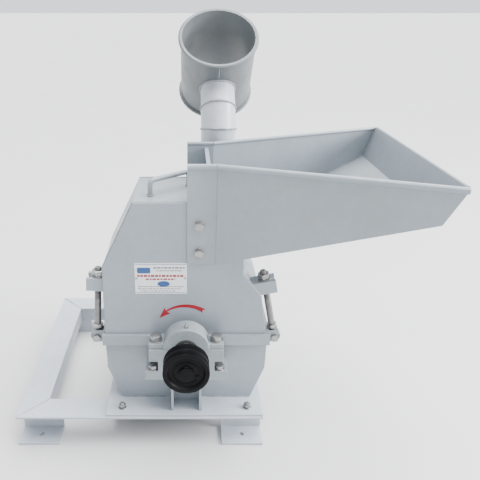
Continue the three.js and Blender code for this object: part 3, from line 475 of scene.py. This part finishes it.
def weld(name, points, radius, body, material=None, slot="housing_paint", closed=False, seed=0.0):
    """A hand-laid bead: overlapping ripples of uneven width along a line."""
    points = [Vector(p) for p in points]
    step = 0.0009
    line = []
    ends = points + [points[0]] if closed else points
    for a, b in zip(ends, ends[1:]):
        count = max(1, int((b - a).length / step))
        line += [a.lerp(b, i / count) for i in range(count)]
    if not closed:
        line.append(ends[-1])
    radii = []
    for i, p in enumerate(line):
        ripple = abs(math.sin(i * step / 0.0034 * math.pi))
        wander = noise.noise(p * 90 + Vector((seed, 0, 0)))
        radii.append(radius * (0.78 + 0.22 * ripple + 0.30 * wander))
    if not closed:
        for i in range(min(3, len(radii))):
            radii[i] *= 0.4 + 0.2 * i
            radii[-1 - i] *= 0.4 + 0.2 * i
    shaky = []
    for i, p in enumerate(line):
        drift = Vector([noise.noise(p * 70 + Vector((seed + 7 * k, 3, k))) for k in range(3)])
        shaky.append(p + drift * radius * 0.35)
    mesh = tube_mesh(name, shaky, radii, 10, closed)
    return finish_piece(name, mesh, body, slot, material or WELD)


# ---- Places in the machine's own measure ----
# Millimetres from the shaft's axis, the frame's front edge and the floor.
RAIL_GAP = 0.3
ORIGIN = Vector((AXIS_X, FRAME_FRONT - RAIL_GAP * MM, 0.0))


def at(x, y, z):
    return ORIGIN + Vector((x, y, z)) * MM


def top_of(node):
    return (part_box(node)[1].z - ORIGIN.z) / MM


def span(node, axis):
    low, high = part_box(node)
    return (low[axis] - ORIGIN[axis]) / MM, (high[axis] - ORIGIN[axis]) / MM


# ---- The CAD nodes that stay ----
SOFT_EDGES = {"bearing_paint": 0.0022, "rotor_steel": 0.0009, "frame_paint": 0.0009}
FINE_EDGE = 0.0007


def dress_cad():
    """Materials for the frame's nodes, their facets joined into flats and their edges broken."""
    for name, node in frame["nodes"].items():
        slot = SLOT_OF[name]
        node.data.materials.clear()
        # The collector drum gets the darker copy of the pipe paint, which is painted shade.
        node.data.materials.append(DRUM_PAINTED_SHADE if name == "collector_drum" else MATERIALS[slot])
        node.data.shade_smooth()
        node.modifiers.new("weld", "WELD").merge_threshold = 2e-5
        flat = node.modifiers.new("flat", "DECIMATE")
        flat.decimate_type = "DISSOLVE"
        flat.angle_limit = math.radians(0.6)
        width = SOFT_EDGES.get(slot, FINE_EDGE)
        add_bevel(node, width, 3 if width > 0.001 else 2, 26)
        even = node.modifiers.new("even", "WEIGHTED_NORMAL")
        even.weight = 100
        even.keep_sharp = True


dress_cad()

DECK = top_of("base_plate")
PLATE_Y = span("upper_front_plate", 1)[0]
REAR_Y = span("upper_rear_plate", 1)[1]
CROWN = top_of("upper_front_plate")
BEARING_FOOT = 15
FOOT_TOP = span("front_bearing_base", 2)[0] + BEARING_FOOT
CAP_TOP = top_of("front_bearing_cap")
SHAFT_Z = (AXIS_Z - ORIGIN.z) / MM
FRONT = (0, -1, 0)
BACK = (0, 1, 0)
UP = (0, 0, 1)

# ---- Sizes that a node's box doesn't give, in millimetres ----
SHAFT_END_RADIUS = 14
PIVOT_Z = 237
LUG_FACE = 12.5
CLAMPS = (("left", -1, 192, 4.0, 144), ("right", 1, 189, 11.5, 139))
PLATE_WALL = 5.2
SILL_HALF = 143
PEDESTAL_HALF = 33.1
HOPPER_BEND = 58
HOPPER_END = 457
HOPPER_SHEET = 2.5
PIPE_X = 71
PIPE_RADIUS = 38.4
PIPE_FLANGE_HALF = 44.4
FIRST_SEAM_Z = 638.5
SEAM_SPACING = 45
DRUM_RADIUS = 83.5
PIPE_TO_DRUM = 130.5
BEND = math.radians(25)


def side_name(side):
    return "left" if side < 0 else "right"


def millimetres(profile):
    return [(r * MM, t * MM) for r, t in profile]


# ---- Turned and screwed parts ----
def turned_pulley():
    """Two V grooves with rounded lips, a dished web and a hub, as turned from a casting."""
    y0, y1 = span("pulley", 1)
    radius = (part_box("pulley")[1].z - AXIS_Z) / MM
    width = y1 - y0
    lip = 0.8
    bore = SHAFT_END_RADIUS + 0.3
    hub_and_web = [(bore, 4.0), (21.5, 4.0), (23.4, 4.8), (25.2, 6.4), (26.0, 6.7), (32.8, 6.7)]
    profile = hub_and_web + [(34.0, 6.2), (36.4, 1.2), (37.4, 0.2), (38.2, 0.0)]
    profile += [(radius - lip, 0.0), (radius - 0.2, 0.3), (radius, lip)]
    groove = [(0, -6.4), (0.5, -5.8), (8.2, -2.8), (9.0, -2.0)]
    groove += [(depth, -place) for depth, place in reversed(groove)]
    for share in (0.25, 0.75):
        profile += [(radius - depth, width * share + place) for depth, place in groove]
    profile += [(radius, width - lip), (radius - lip, width), (bore, width)]
    middle = at(0, y0, SHAFT_Z)
    mesh = lathe_mesh("pulley_turned", millimetres(profile), middle, BACK, 144, True)
    piece = finish_piece("pulley_turned", mesh, "rotor", "pulley_black")
    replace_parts(piece, "pulley")
    end = [(0.0, -0.2), (1.6, -0.2), (3.4, -0.6), (12.6, -0.6), (SHAFT_END_RADIUS, -0.3), (14.25, 3.9)]
    mesh = lathe_mesh("shaft_end", millimetres(end), middle, BACK, 72)
    finish_piece("shaft_end_painted", mesh, "rotor", "pulley_black")
    key = box_mesh("pulley_key", at(-4, y0 + 0.6, SHAFT_Z + 10.5), at(4, y0 + 5.5, SHAFT_Z + 17.6))
    finish_piece("pulley_key", key, "rotor", "pulley_black", smooth=False, bevel=0.0005)
    screw = hex_mesh("g", at(21, y0 + 3.9, SHAFT_Z - 9), FRONT, 7 * MM, 1.6 * MM)
    finish_piece("pulley_grub_screw", screw, "rotor", "pulley_black")


def swing_bolts():
    """A forged eye on a round rod with a rolled thread, its nut, washer and stop collar."""
    eye = millimetres([(5.8, -8), (13.0, -8), (14.0, -7), (14.0, 7), (13.0, 8), (5.8, 8)])
    shank = millimetres([(0, 7.0), (7.0, 7.0), (7.0, 90.0), (6.6, 91.0)])
    for label, side, pivot_x, lean, reach in CLAMPS:
        body = "swing_" + label
        y0, y1 = span("swing_bolt_" + label, 1)
        middle = (y0 + y1) / 2
        pivot = at(side * pivot_x, middle, PIVOT_Z)
        way = Vector((-side * math.sin(math.radians(lean)), 0, math.cos(math.radians(lean))))
        meshes = [
            lathe_mesh("eye", eye, pivot, BACK, 64, True),
            lathe_mesh("rod", shank, pivot, way, 48),
            thread_mesh("thread", pivot, way, 6.95 * MM, 91 * MM, (reach + 20) * MM, 0.0021),
        ]
        rod = finish_piece("swing_rod_" + label, joined("swing_rod_" + label, *meshes), body, "rod_steel")
        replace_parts(rod, "swing_bolt_" + label)
        seat = pivot + way * (reach + 0.3) * MM
        washer = washer_mesh("w", seat, way, 7.4 * MM, 14.0 * MM, 2.0 * MM)
        hexagon = hex_mesh("n", seat + way * 2.0 * MM, way, 22 * MM, 11.6 * MM, 7.1 * MM)
        mesh = joined("clamp_nut_" + label, washer, hexagon)
        nut = finish_piece("clamp_nut_" + label, mesh, body, "bolt_steel")
        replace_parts(nut, "nut_" + label)
        collar = hex_mesh("c", pivot + way * 21.5 * MM, way, 19 * MM, 8 * MM, 7.05 * MM)
        finish_piece("rod_collar_" + label, collar, body, "bolt_steel")
        head_seat = at(side * pivot_x, middle - LUG_FACE, PIVOT_Z)
        bolt("pivot_head_" + label, head_seat, FRONT, 15 * MM, "base", washer=False)
        nut_seat = at(side * pivot_x, middle + LUG_FACE, PIVOT_Z)
        bolt("pivot_nut_" + label, nut_seat, BACK, 15 * MM, "base", washer=False, stub=0.003)


def cap_bolts():
    """Hexagon bolts on flat and spring washers, standing on the bearing caps' ears."""
    for label in ("front", "rear"):
        ear_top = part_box(f"{label}_bearing_cap")[0].z + 12.0 * MM
        for side in ("left", "right"):
            node = f"{label}_cap_bolt_{side}"
            low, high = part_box(node)
            seat = Vector(((low.x + high.x) / 2, (low.y + high.y) / 2, ear_top))
            meshes = [
                washer_mesh("w", seat, UP, 6.4 * MM, 14.0 * MM, 2.0 * MM),
                washer_mesh("s", seat + Vector(UP) * 2.0 * MM, UP, 6.4 * MM, 11.0 * MM, 2.0 * MM),
                hex_mesh("h", seat + Vector(UP) * 4.0 * MM, UP, 21 * MM, 8.0 * MM),
                lathe_mesh("b", millimetres([(0, -30), (6, -30), (6, 4)]), seat, UP, 24),
            ]
            name = node + "_detailed"
            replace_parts(finish_piece(name, joined(name, *meshes), "base", "bolt_steel"), node)


def hopper_bolts():
    """The two bolts that hold the hopper's front sheet to the lid's front plate."""
    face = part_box("upper_front_plate")[0].y - 2.85 * MM
    for label in ("1", "2"):
        node = "hopper_bolt_" + label
        low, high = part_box(node)
        seat = Vector(((low.x + high.x) / 2, face, (low.z + high.z) / 2))
        length = high.y - face
        meshes = [
            washer_mesh("w", seat, FRONT, 5.3 * MM, 10.6 * MM, 1.8 * MM),
            washer_mesh("s", seat + Vector(FRONT) * 1.8 * MM, FRONT, 5.3 * MM, 8.8 * MM, 1.6 * MM),
            hex_mesh("h", seat + Vector(FRONT) * 3.4 * MM, FRONT, 16.4 * MM, 6.2 * MM),
            lathe_mesh("b", [(0, 0), (5 * MM, 0), (5 * MM, length), (0, length)], seat, BACK, 24),
        ]
        name = node + "_detailed"
        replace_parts(finish_piece(name, joined(name, *meshes), "lid", "bolt_steel"), node)


def frame_bolts():
    """Bolts through the base plate, the bearing feet, the lid's rear tabs and the pipe's flange."""
    for x, y in ((-140, 27), (133, 27), (-140, 380), (133, 380)):
        bolt(f"deck_bolt_{x}_{y}".replace("-", "m"), at(x, y, DECK), UP, 14 * MM, "base", stub=0.004)
    for label in ("front", "rear"):
        low, high = span(label + "_bearing_base", 1)
        y = low + 10 if label == "front" else high - 10
        for side in (-1, 1):
            name = f"{label}_foot_bolt_{side_name(side)}"
            bolt(name, at(side * 69, y, FOOT_TOP), UP, 17 * MM, "base")
    for side in (-1, 1):
        seat = at(side * 132, REAR_Y + 5.3, SHAFT_Z + 13)
        bolt(f"rear_stop_bolt_{side_name(side)}", seat, BACK, 13 * MM, "base")
    x0, x1 = span("discharge_pipe", 0)
    y0 = span("discharge_pipe", 1)[0]
    inset = 5.2
    pitch = x1 - x0 - 2 * inset
    height = top_of("fan_housing") + 6.3
    for i, (a, b) in enumerate(((0, 0), (1, 0), (1, 1), (0, 1))):
        place = at(x0 + inset + a * pitch, y0 + inset + b * pitch, height)
        bolt(f"pipe_flange_bolt_{i + 1}", place, UP, 8 * MM, "base", washer=False)


def bearing_fittings():
    """A grease nipple on each cap and a rubber seal where the shaft leaves it."""
    tip = [(0, 3), (2.6, 3), (2.2, 5.2), (1.5, 6.0), (2.1, 7.2), (2.4, 8.4), (1.7, 9.6), (0, 9.9)]
    seal = [(17.8, 0), (24, 0), (24, 0.8), (23, 1.4), (19.5, 1.4), (17.8, 1.0)]
    for label, out in (("front", FRONT), ("rear", BACK)):
        low, high = span(label + "_bearing_cap", 1)
        top = at(0, low + 11 if label == "front" else high - 11, CAP_TOP)
        base = hex_mesh("n", top - Vector(UP) * 0.4 * MM, UP, 8 * MM, 3.6 * MM)
        stem = lathe_mesh("t", millimetres(tip), top, UP, 32)
        name = label + "_grease_nipple"
        finish_piece(name, joined(name, base, stem), "base", "bolt_steel")
        face = low if label == "front" else high
        ring = lathe_mesh("seal", millimetres(seal), at(0, face, SHAFT_Z), out, 72, True)
        finish_piece(label + "_shaft_seal", ring, "base", "pulley_black", RUBBER)


def ring_at(x, y, z, radius, count):
    """A level ring of points round a place in the machine's own measure."""
    turns = [2 * math.pi * i / count for i in range(count)]
    return [at(x + radius * math.cos(t), y + radius * math.sin(t), z) for t in turns]


def handle():
    """The lifting handle as one bent round bar with a weld round each foot."""
    x0, x1 = -71, 5
    y0, y1 = 106, 168
    low, high = CROWN + 0.3, CROWN + 31
    along = Vector((x1 - x0, y1 - y0, 0)).normalized() * 12
    a, b = Vector((x0, y0, high)), Vector((x1, y1, high))
    down = Vector((0, 0, -12))

    def bend(p, q, r):
        return [p * (1 - t) ** 2 + q * 2 * t * (1 - t) + r * t * t for t in [i / 14 for i in range(15)]]

    bends = bend(a + down, a, a + along) + bend(b - along, b, b + down)
    path = [Vector((x0, y0, low))] + bends + [Vector((x1, y1, low))]
    mesh = tube_mesh("handle_bar", [at(*p) for p in path], 5.0 * MM, 28)
    piece = finish_piece("handle_bar", mesh, "lid", "housing_paint")
    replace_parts(piece, "lifting_handle")
    for label, x, y in (("front", x0, y0), ("rear", x1, y1)):
        ring = ring_at(x, y, CROWN + 1.2, 5.6, 24)
        weld("handle_weld_" + label, ring, 1.9 * MM, "lid", closed=True, seed=x)


turned_pulley()
swing_bolts()
cap_bolts()
hopper_bolts()
frame_bolts()
bearing_fittings()
handle()


# ---- Welds ----
ON_FRAME = {"material": FRAME_WELD, "slot": "frame_paint"}
ON_PIPE = {"material": PIPE_WELD, "slot": "pipe_paint"}


def bead(name, places, radius, body, **more):
    """A weld along places in the machine's own measure; its radius is in millimetres too."""
    weld(name, [at(*place) for place in places], radius * MM, body, **more)


def frame_welds():
    left, right = span("rail_front", 0)
    depth = span("rail_rear", 1)[1]
    top = top_of("rail_front") + 0.2
    for name, x, y, dx, dy in (
        ("front_left", left, RAIL_GAP, 1, 1),
        ("front_right", right, RAIL_GAP, -1, 1),
        ("rear_left", left, depth, 1, -1),
        ("rear_right", right, depth, -1, -1),
    ):
        line = [(x + dx * 1.5, y + dy * 1.5, top), (x + dx * 59, y + dy * 59, top)]
        bead("rail_weld_" + name, line, 1.5, "base", seed=x + y, **ON_FRAME)
    for name in ("front_left", "front_right", "rear_left", "rear_right"):
        x0, x1 = span("foot_" + name, 0)
        y0, y1 = span("foot_" + name, 1)
        z = top_of("foot_" + name)
        face = y1 - PLATE_WALL if "front" in name else y0 + PLATE_WALL
        bead("foot_weld_" + name, [(x0 + 5, face, z), (x1 - 5, face, z)], 1.9, "base", seed=x0, **ON_FRAME)
    x0, x1 = span("rail_middle", 0)
    y0, y1 = span("rail_middle", 1)
    for name, y in (("front", y0 - 0.1), ("rear", y1 + 0.1)):
        bead("middle_weld_" + name, [(x0 + 2, y, top), (x1 - 2, y, top)], 1.4, "base", seed=y, **ON_FRAME)


def housing_welds():
    """Beads along the housing's foot and along the corners where sheets meet the end plates."""
    sill = DECK + 0.5
    front = PLATE_Y - 0.4
    inner = SILL_HALF - 3
    bead("sill_weld_front", [(-inner, front, sill), (-46, front, sill)], 1.7, "base", seed=1)
    bead("sill_weld_front_right", [(46, front, sill), (inner, front, sill)], 1.7, "base", seed=2)
    corner = PLATE_Y + 5.1
    for side in (-1, 1):
        label = side_name(side)
        x = side * (SILL_HALF + 0.6)
        bead("sill_weld_" + label, [(x, 70, sill), (x, 224, sill)], 1.7, "base", seed=3 + side)
        wall = ((143.5, DECK + 3), (171.3, 163), (172.3, 227))
        line = [(side * x, corner, z) for x, z in wall]
        bead("lower_corner_weld_" + label, line, 1.2, "base", seed=5 + side)
    corner = PLATE_Y + PLATE_WALL
    left = ((-172.3, 256), (-169.6, 409), (-102.7, 547))
    bead("upper_corner_weld_left", [(x, corner, z) for x, z in left], 1.2, "lid", seed=8)
    top = CROWN + 0.3
    bead("crown_weld", [(-100, corner, top), (0, corner, top)], 1.2, "lid", seed=9)
    rear = REAR_Y - PLATE_WALL
    bead("crown_weld_rear", [(-100, rear, top), (0, rear, top)], 1.2, "lid", seed=10)
    right = ((168.3, 256), (154.3, 344), (115.3, 393), (115.3, 414))
    bead("upper_corner_weld_right", [(x, corner, z) for x, z in right], 1.2, "lid", seed=11)
    joint = PLATE_Y - 1.2
    bead("hopper_joint_weld", [(2.2, joint, 420), (2.2, joint, CROWN - 2)], 1.0, "lid", seed=12)


def pedestal_welds():
    length = 40
    shelf = 177.4
    for label, out in (("front", -1), ("rear", 1)):
        y0, y1 = span(label + "_pedestal", 1)
        near = y0 + 12.5 if label == "front" else y1 - 12.5
        far = near - out * length
        for side in (-1, 1):
            x = side * PEDESTAL_HALF
            foot = [(x, near, DECK + 0.6), (x, far, DECK + 0.6)]
            bead(f"{label}_pedestal_weld_{side_name(side)}", foot, 2.0, "base", seed=20 + side)
            head = [(x, near, shelf), (x, far, shelf)]
            bead(f"{label}_shelf_weld_{side_name(side)}", head, 1.8, "base", seed=30 + side)


def clamp_welds():
    for side in (-1, 1):
        label = side_name(side)
        x = side * 178.2
        for k, y in ((0, 71.8), (1, 96.2)):
            bead(f"lug_weld_{label}_{k}", [(x, y, 230), (x, y, 251)], 1.3, "base", seed=40 + side + k)
    ear = 66.8
    bead("ear_weld_left", [(-170.6, ear, 360), (-169.4, ear, 379)], 1.6, "lid", seed=44)
    bead("ear_weld_right", [(146.5, ear, 354), (133.5, ear, 370)], 1.6, "lid", seed=45)


def lean(angle):
    """Straight up, leaned back by an angle."""
    return Vector((0, math.sin(angle), math.cos(angle)))


def pipe_welds():
    """Beads along the two mitre planes, round the saddle on the drum and down the drum's seam."""
    y = span("discharge_pipe", 1)[0] + PIPE_FLANGE_HALF
    first = Vector((PIPE_X, y, FIRST_SEAM_Z))
    second = first + lean(BEND) * SEAM_SPACING
    centre = second + lean(2 * BEND) * PIPE_TO_DRUM
    side = Vector((1, 0, 0))
    turns = [2 * math.pi * i / 96 for i in range(96)]
    for label, seam, before in (("lower", first, 0.0), ("upper", second, BEND)):
        along = lean(before)
        middle = lean(before + BEND / 2)
        other = along.cross(side)
        ring = []
        for t in turns:
            out = (side * math.cos(t) + other * math.sin(t)) * (PIPE_RADIUS + 0.2)
            ring.append(seam + out - along * (out.dot(middle) / along.dot(middle)))
        bead("pipe_weld_" + label, ring, 2.5, "base", closed=True, seed=50 + before, **ON_PIPE)
    along = lean(2 * BEND)
    axis = lean(2 * BEND - math.pi / 2)
    proud = 0.8
    ring = []
    for t in turns:
        out = side * math.cos(t) * (PIPE_RADIUS + proud) + axis * math.sin(t) * (PIPE_RADIUS + proud)
        depth = math.sqrt((DRUM_RADIUS + proud) ** 2 - out.x**2)
        ring.append(centre + out - along * depth)
    bead("saddle_weld", ring, 2.4, "base", closed=True, seed=55, **ON_PIPE)
    skin = centre - along * (DRUM_RADIUS + 0.2)
    upper = [skin + axis * 41.5, skin + axis * 76]
    bead("drum_seam_weld", upper, 1.1, "base", seed=56, **ON_PIPE)
    lower = [skin - axis * 41.5, skin - axis * 78]
    bead("drum_seam_weld_low", lower, 1.5, "base", seed=57, **ON_PIPE)
    foot = ring_at(PIPE_X, y, top_of("fan_housing") + 6.6, PIPE_RADIUS + 0.8, 80)
    weld("pipe_foot_weld", foot, 2.0 * MM, "base", closed=True, seed=58, **ON_PIPE)


def hopper_welds():
    """Beads inside the hopper where the folded floor meets the two flared walls."""
    run = HOPPER_END - HOPPER_BEND
    for label, y0, flare, inward in (("front", PLATE_Y + 0.4, -137, 1), ("rear", REAR_Y - 0.4, 154, -1)):
        points = []
        for x, z in ((118, 440), (429, 554), (452, 612)):
            y = y0 + flare * (x - HOPPER_BEND) / run
            points.append((x - 1.0, y + inward * 0.9, z + HOPPER_SHEET + 1.1))
        bead("hopper_seam_" + label, points, 1.3, "lid", seed=60 + flare)
        fold = y0 - inward * 3.4
        line = [(HOPPER_BEND, fold, 419), (HOPPER_BEND, fold, 609)]
        bead("hopper_fold_" + label, line, 0.7, "lid", seed=70 + flare)
    turns = [2 * math.pi * i / 32 for i in range(32)]
    x = HOPPER_BEND + 0.2
    ring = [(x, PLATE_Y - 1.55 + 6.4 * math.sin(t), 618 + 6.4 * math.cos(t)) for t in turns]
    bead("rim_joint", ring, 0.9, "lid", closed=True, seed=75)


frame_welds()
housing_welds()
pedestal_welds()
clamp_welds()
pipe_welds()
hopper_welds()


# ---- Label and rotation arrow ----
PLATE_THICK = 0.5
INK_THICK = 0.15


def flat_patch(name, outline, thick, material, slot, lift=0.0):
    """A thin printed shape on the front plate; outline in millimetres of X and Z."""
    mesh = prism_mesh(name, millimetres(outline), at(0, PLATE_Y - lift, 0), (1, 0, 0), (0, 0, 1), thick * MM)
    return finish_piece(name, mesh, "lid", slot, material, smooth=False)


def rounded(x0, x1, z0, z1, r):
    return (
        arc(x1 - r, z0 + r, r, -90, 0, 6)
        + arc(x1 - r, z1 - r, r, 0, 90, 6)
        + arc(x0 + r, z1 - r, r, 90, 180, 6)
        + arc(x0 + r, z0 + r, r, 180, 270, 6)
    )


def printed(name, outline, ink):
    """Ink on the label's plate."""
    flat_patch(name, outline, INK_THICK, ink, "label_white", PLATE_THICK)


def label():
    """A white plate with plain bars in place of print, a block, an oval and two rivets."""
    x0, x1, z0, z1 = -104, 1.4, 350, 420
    white = MATERIALS["label_white"]
    flat_patch("maker_plate", rounded(x0, x1, z0, z1, 2), PLATE_THICK, white, "label_white")
    printed("label_border_top", rounded(x0 + 2, x1 - 2, z1 - 3.2, z1 - 2.2, 0.4), INK_BLUE)
    printed("label_border_low", rounded(x0 + 2, x1 - 2, z0 + 2.2, z0 + 3.2, 0.4), INK_BLUE)
    printed("label_block", rounded(-99, -72, 397, 410, 3.0), INK_BLUE)
    red = MATERIALS["arrow_red"]
    rows = [
        (408, 2.8, -66, -3, INK_GREY),
        (402, 1.8, -60, -8, INK_GREY),
        (389, 4.6, -99, -4, red),
        (382, 3.4, -82, -22, red),
        (366, 1.4, -98, -5, INK_GREY),
        (361, 1.4, -98, -12, INK_GREY),
        (356, 1.4, -94, -20, INK_GREY),
    ]
    for k, (z, height, a, b, ink) in enumerate(rows):
        x = a
        step = 0
        while x < b:
            length = 4.0 + 3.5 * (0.5 + 0.5 * math.sin(k * 5.1 + step * 2.3))
            end = min(x + length, b)
            printed(f"label_bar_{k}_{step}", rounded(x, end, z, z + height, 0.3), ink)
            x = end + 1.6
            step += 1
    middle = -46
    stretch = 1.9
    disc = arc(middle, 373, 6.6, 0, 360, 28)[:-1]
    printed("label_seal", [(middle + (x - middle) * stretch, z) for x, z in disc], INK_BLUE)
    head = millimetres([(0, 1.5), (1.3, 1.3), (2.0, 0.7), (2.2, 0)])
    for i, x in enumerate((x0 + 3.5, x1 - 3.5)):
        mesh = lathe_mesh("rivet", head, at(x, PLATE_Y - PLATE_THICK, z0 + 36), FRONT, 28)
        finish_piece(f"label_rivet_{i + 1}", mesh, "lid", "bolt_steel")


def arrow():
    """A tapering red arc over the bearing, pointing the way the rotor turns."""
    radius = 67

    def polar(r, degrees):
        angle = math.radians(degrees)
        return -2 + r * math.cos(angle), SHAFT_Z + 1 + r * math.sin(angle)

    taper = [(5.0 - 3.2 * i / 40, 54 + 72 * i / 40) for i in range(41)]
    points = [polar(radius + half, a) for half, a in taper]
    points += [polar(radius + 9, 124), polar(radius - 1, 145), polar(radius - 9, 122)]
    points += [polar(radius - half, a) for half, a in reversed(taper)]
    points.append(polar(radius, 58))
    flat_patch("rotation_arrow", points, 0.35, MATERIALS["arrow_red"], "arrow_red")


label()
arrow()


# ---- Studio ----
def pale_floor():
    half = 60
    corners = [(-half, -half), (half, -half), (half, half), (-half, half)]
    mesh = prism_mesh("floor", corners, (0, 0, -0.002), (1, 0, 0), (0, 1, 0), 0.002)
    floor = bpy.data.objects.new("floor", mesh)
    bpy.context.scene.collection.objects.link(floor)
    n = Nodes("pale_floor")
    n.link(n.grey(n.noise(3.0, 4.0), 0.475, 0.495), n.shader.inputs["Base Color"])
    n.shader.inputs["Roughness"].default_value = 0.9
    n.shader.inputs["Specular IOR Level"].default_value = 0.1
    mesh.materials.append(n.material)


def aim_lamp(data, place, target):
    lamp = bpy.data.objects.new(data.name, data)
    lamp.location = place
    lamp.rotation_euler = (target - place).to_track_quat("-Z", "Y").to_euler()
    bpy.context.scene.collection.objects.link(lamp)


def studio():
    """Soft light from all round, more from above and a broad lamp at the right."""
    world = bpy.data.worlds.new("studio")
    world.use_nodes = True
    sky = world.node_tree.nodes["Background"]
    sky.inputs["Color"].default_value = (0.93, 0.96, 1.0, 1)
    sky.inputs["Strength"].default_value = 1.55
    bpy.context.scene.world = world
    pale_floor()
    overhead = bpy.data.lights.new("overhead", "SUN")
    overhead.energy = 11.5
    overhead.angle = math.radians(75)
    aim_lamp(overhead, Vector((1.5, 1.0, 4.6)), Vector((0, 0, 0)))
    side = bpy.data.lights.new("side", "AREA")
    side.shape = "DISK"
    side.size = 1.4
    side.energy = 260.0
    aim_lamp(side, Vector((3.1, -0.75, 1.5)), Vector((0, 0, 0.5)))


def camera():
    """Looking 24 degrees down from in front of the frame, a little right of the shaft."""
    data = bpy.data.cameras.new("camera")
    data.lens = 39.75
    data.sensor_width = 36.0
    data.shift_x = 0.110
    eye = bpy.data.objects.new("camera", data)
    eye.location = (AXIS_X + 0.002, FRAME_FRONT - 0.886, 0.8925)
    eye.rotation_euler = (math.radians(90 - 24), 0, 0)
    bpy.context.scene.collection.objects.link(eye)
    bpy.context.scene.camera = eye


studio()
camera()
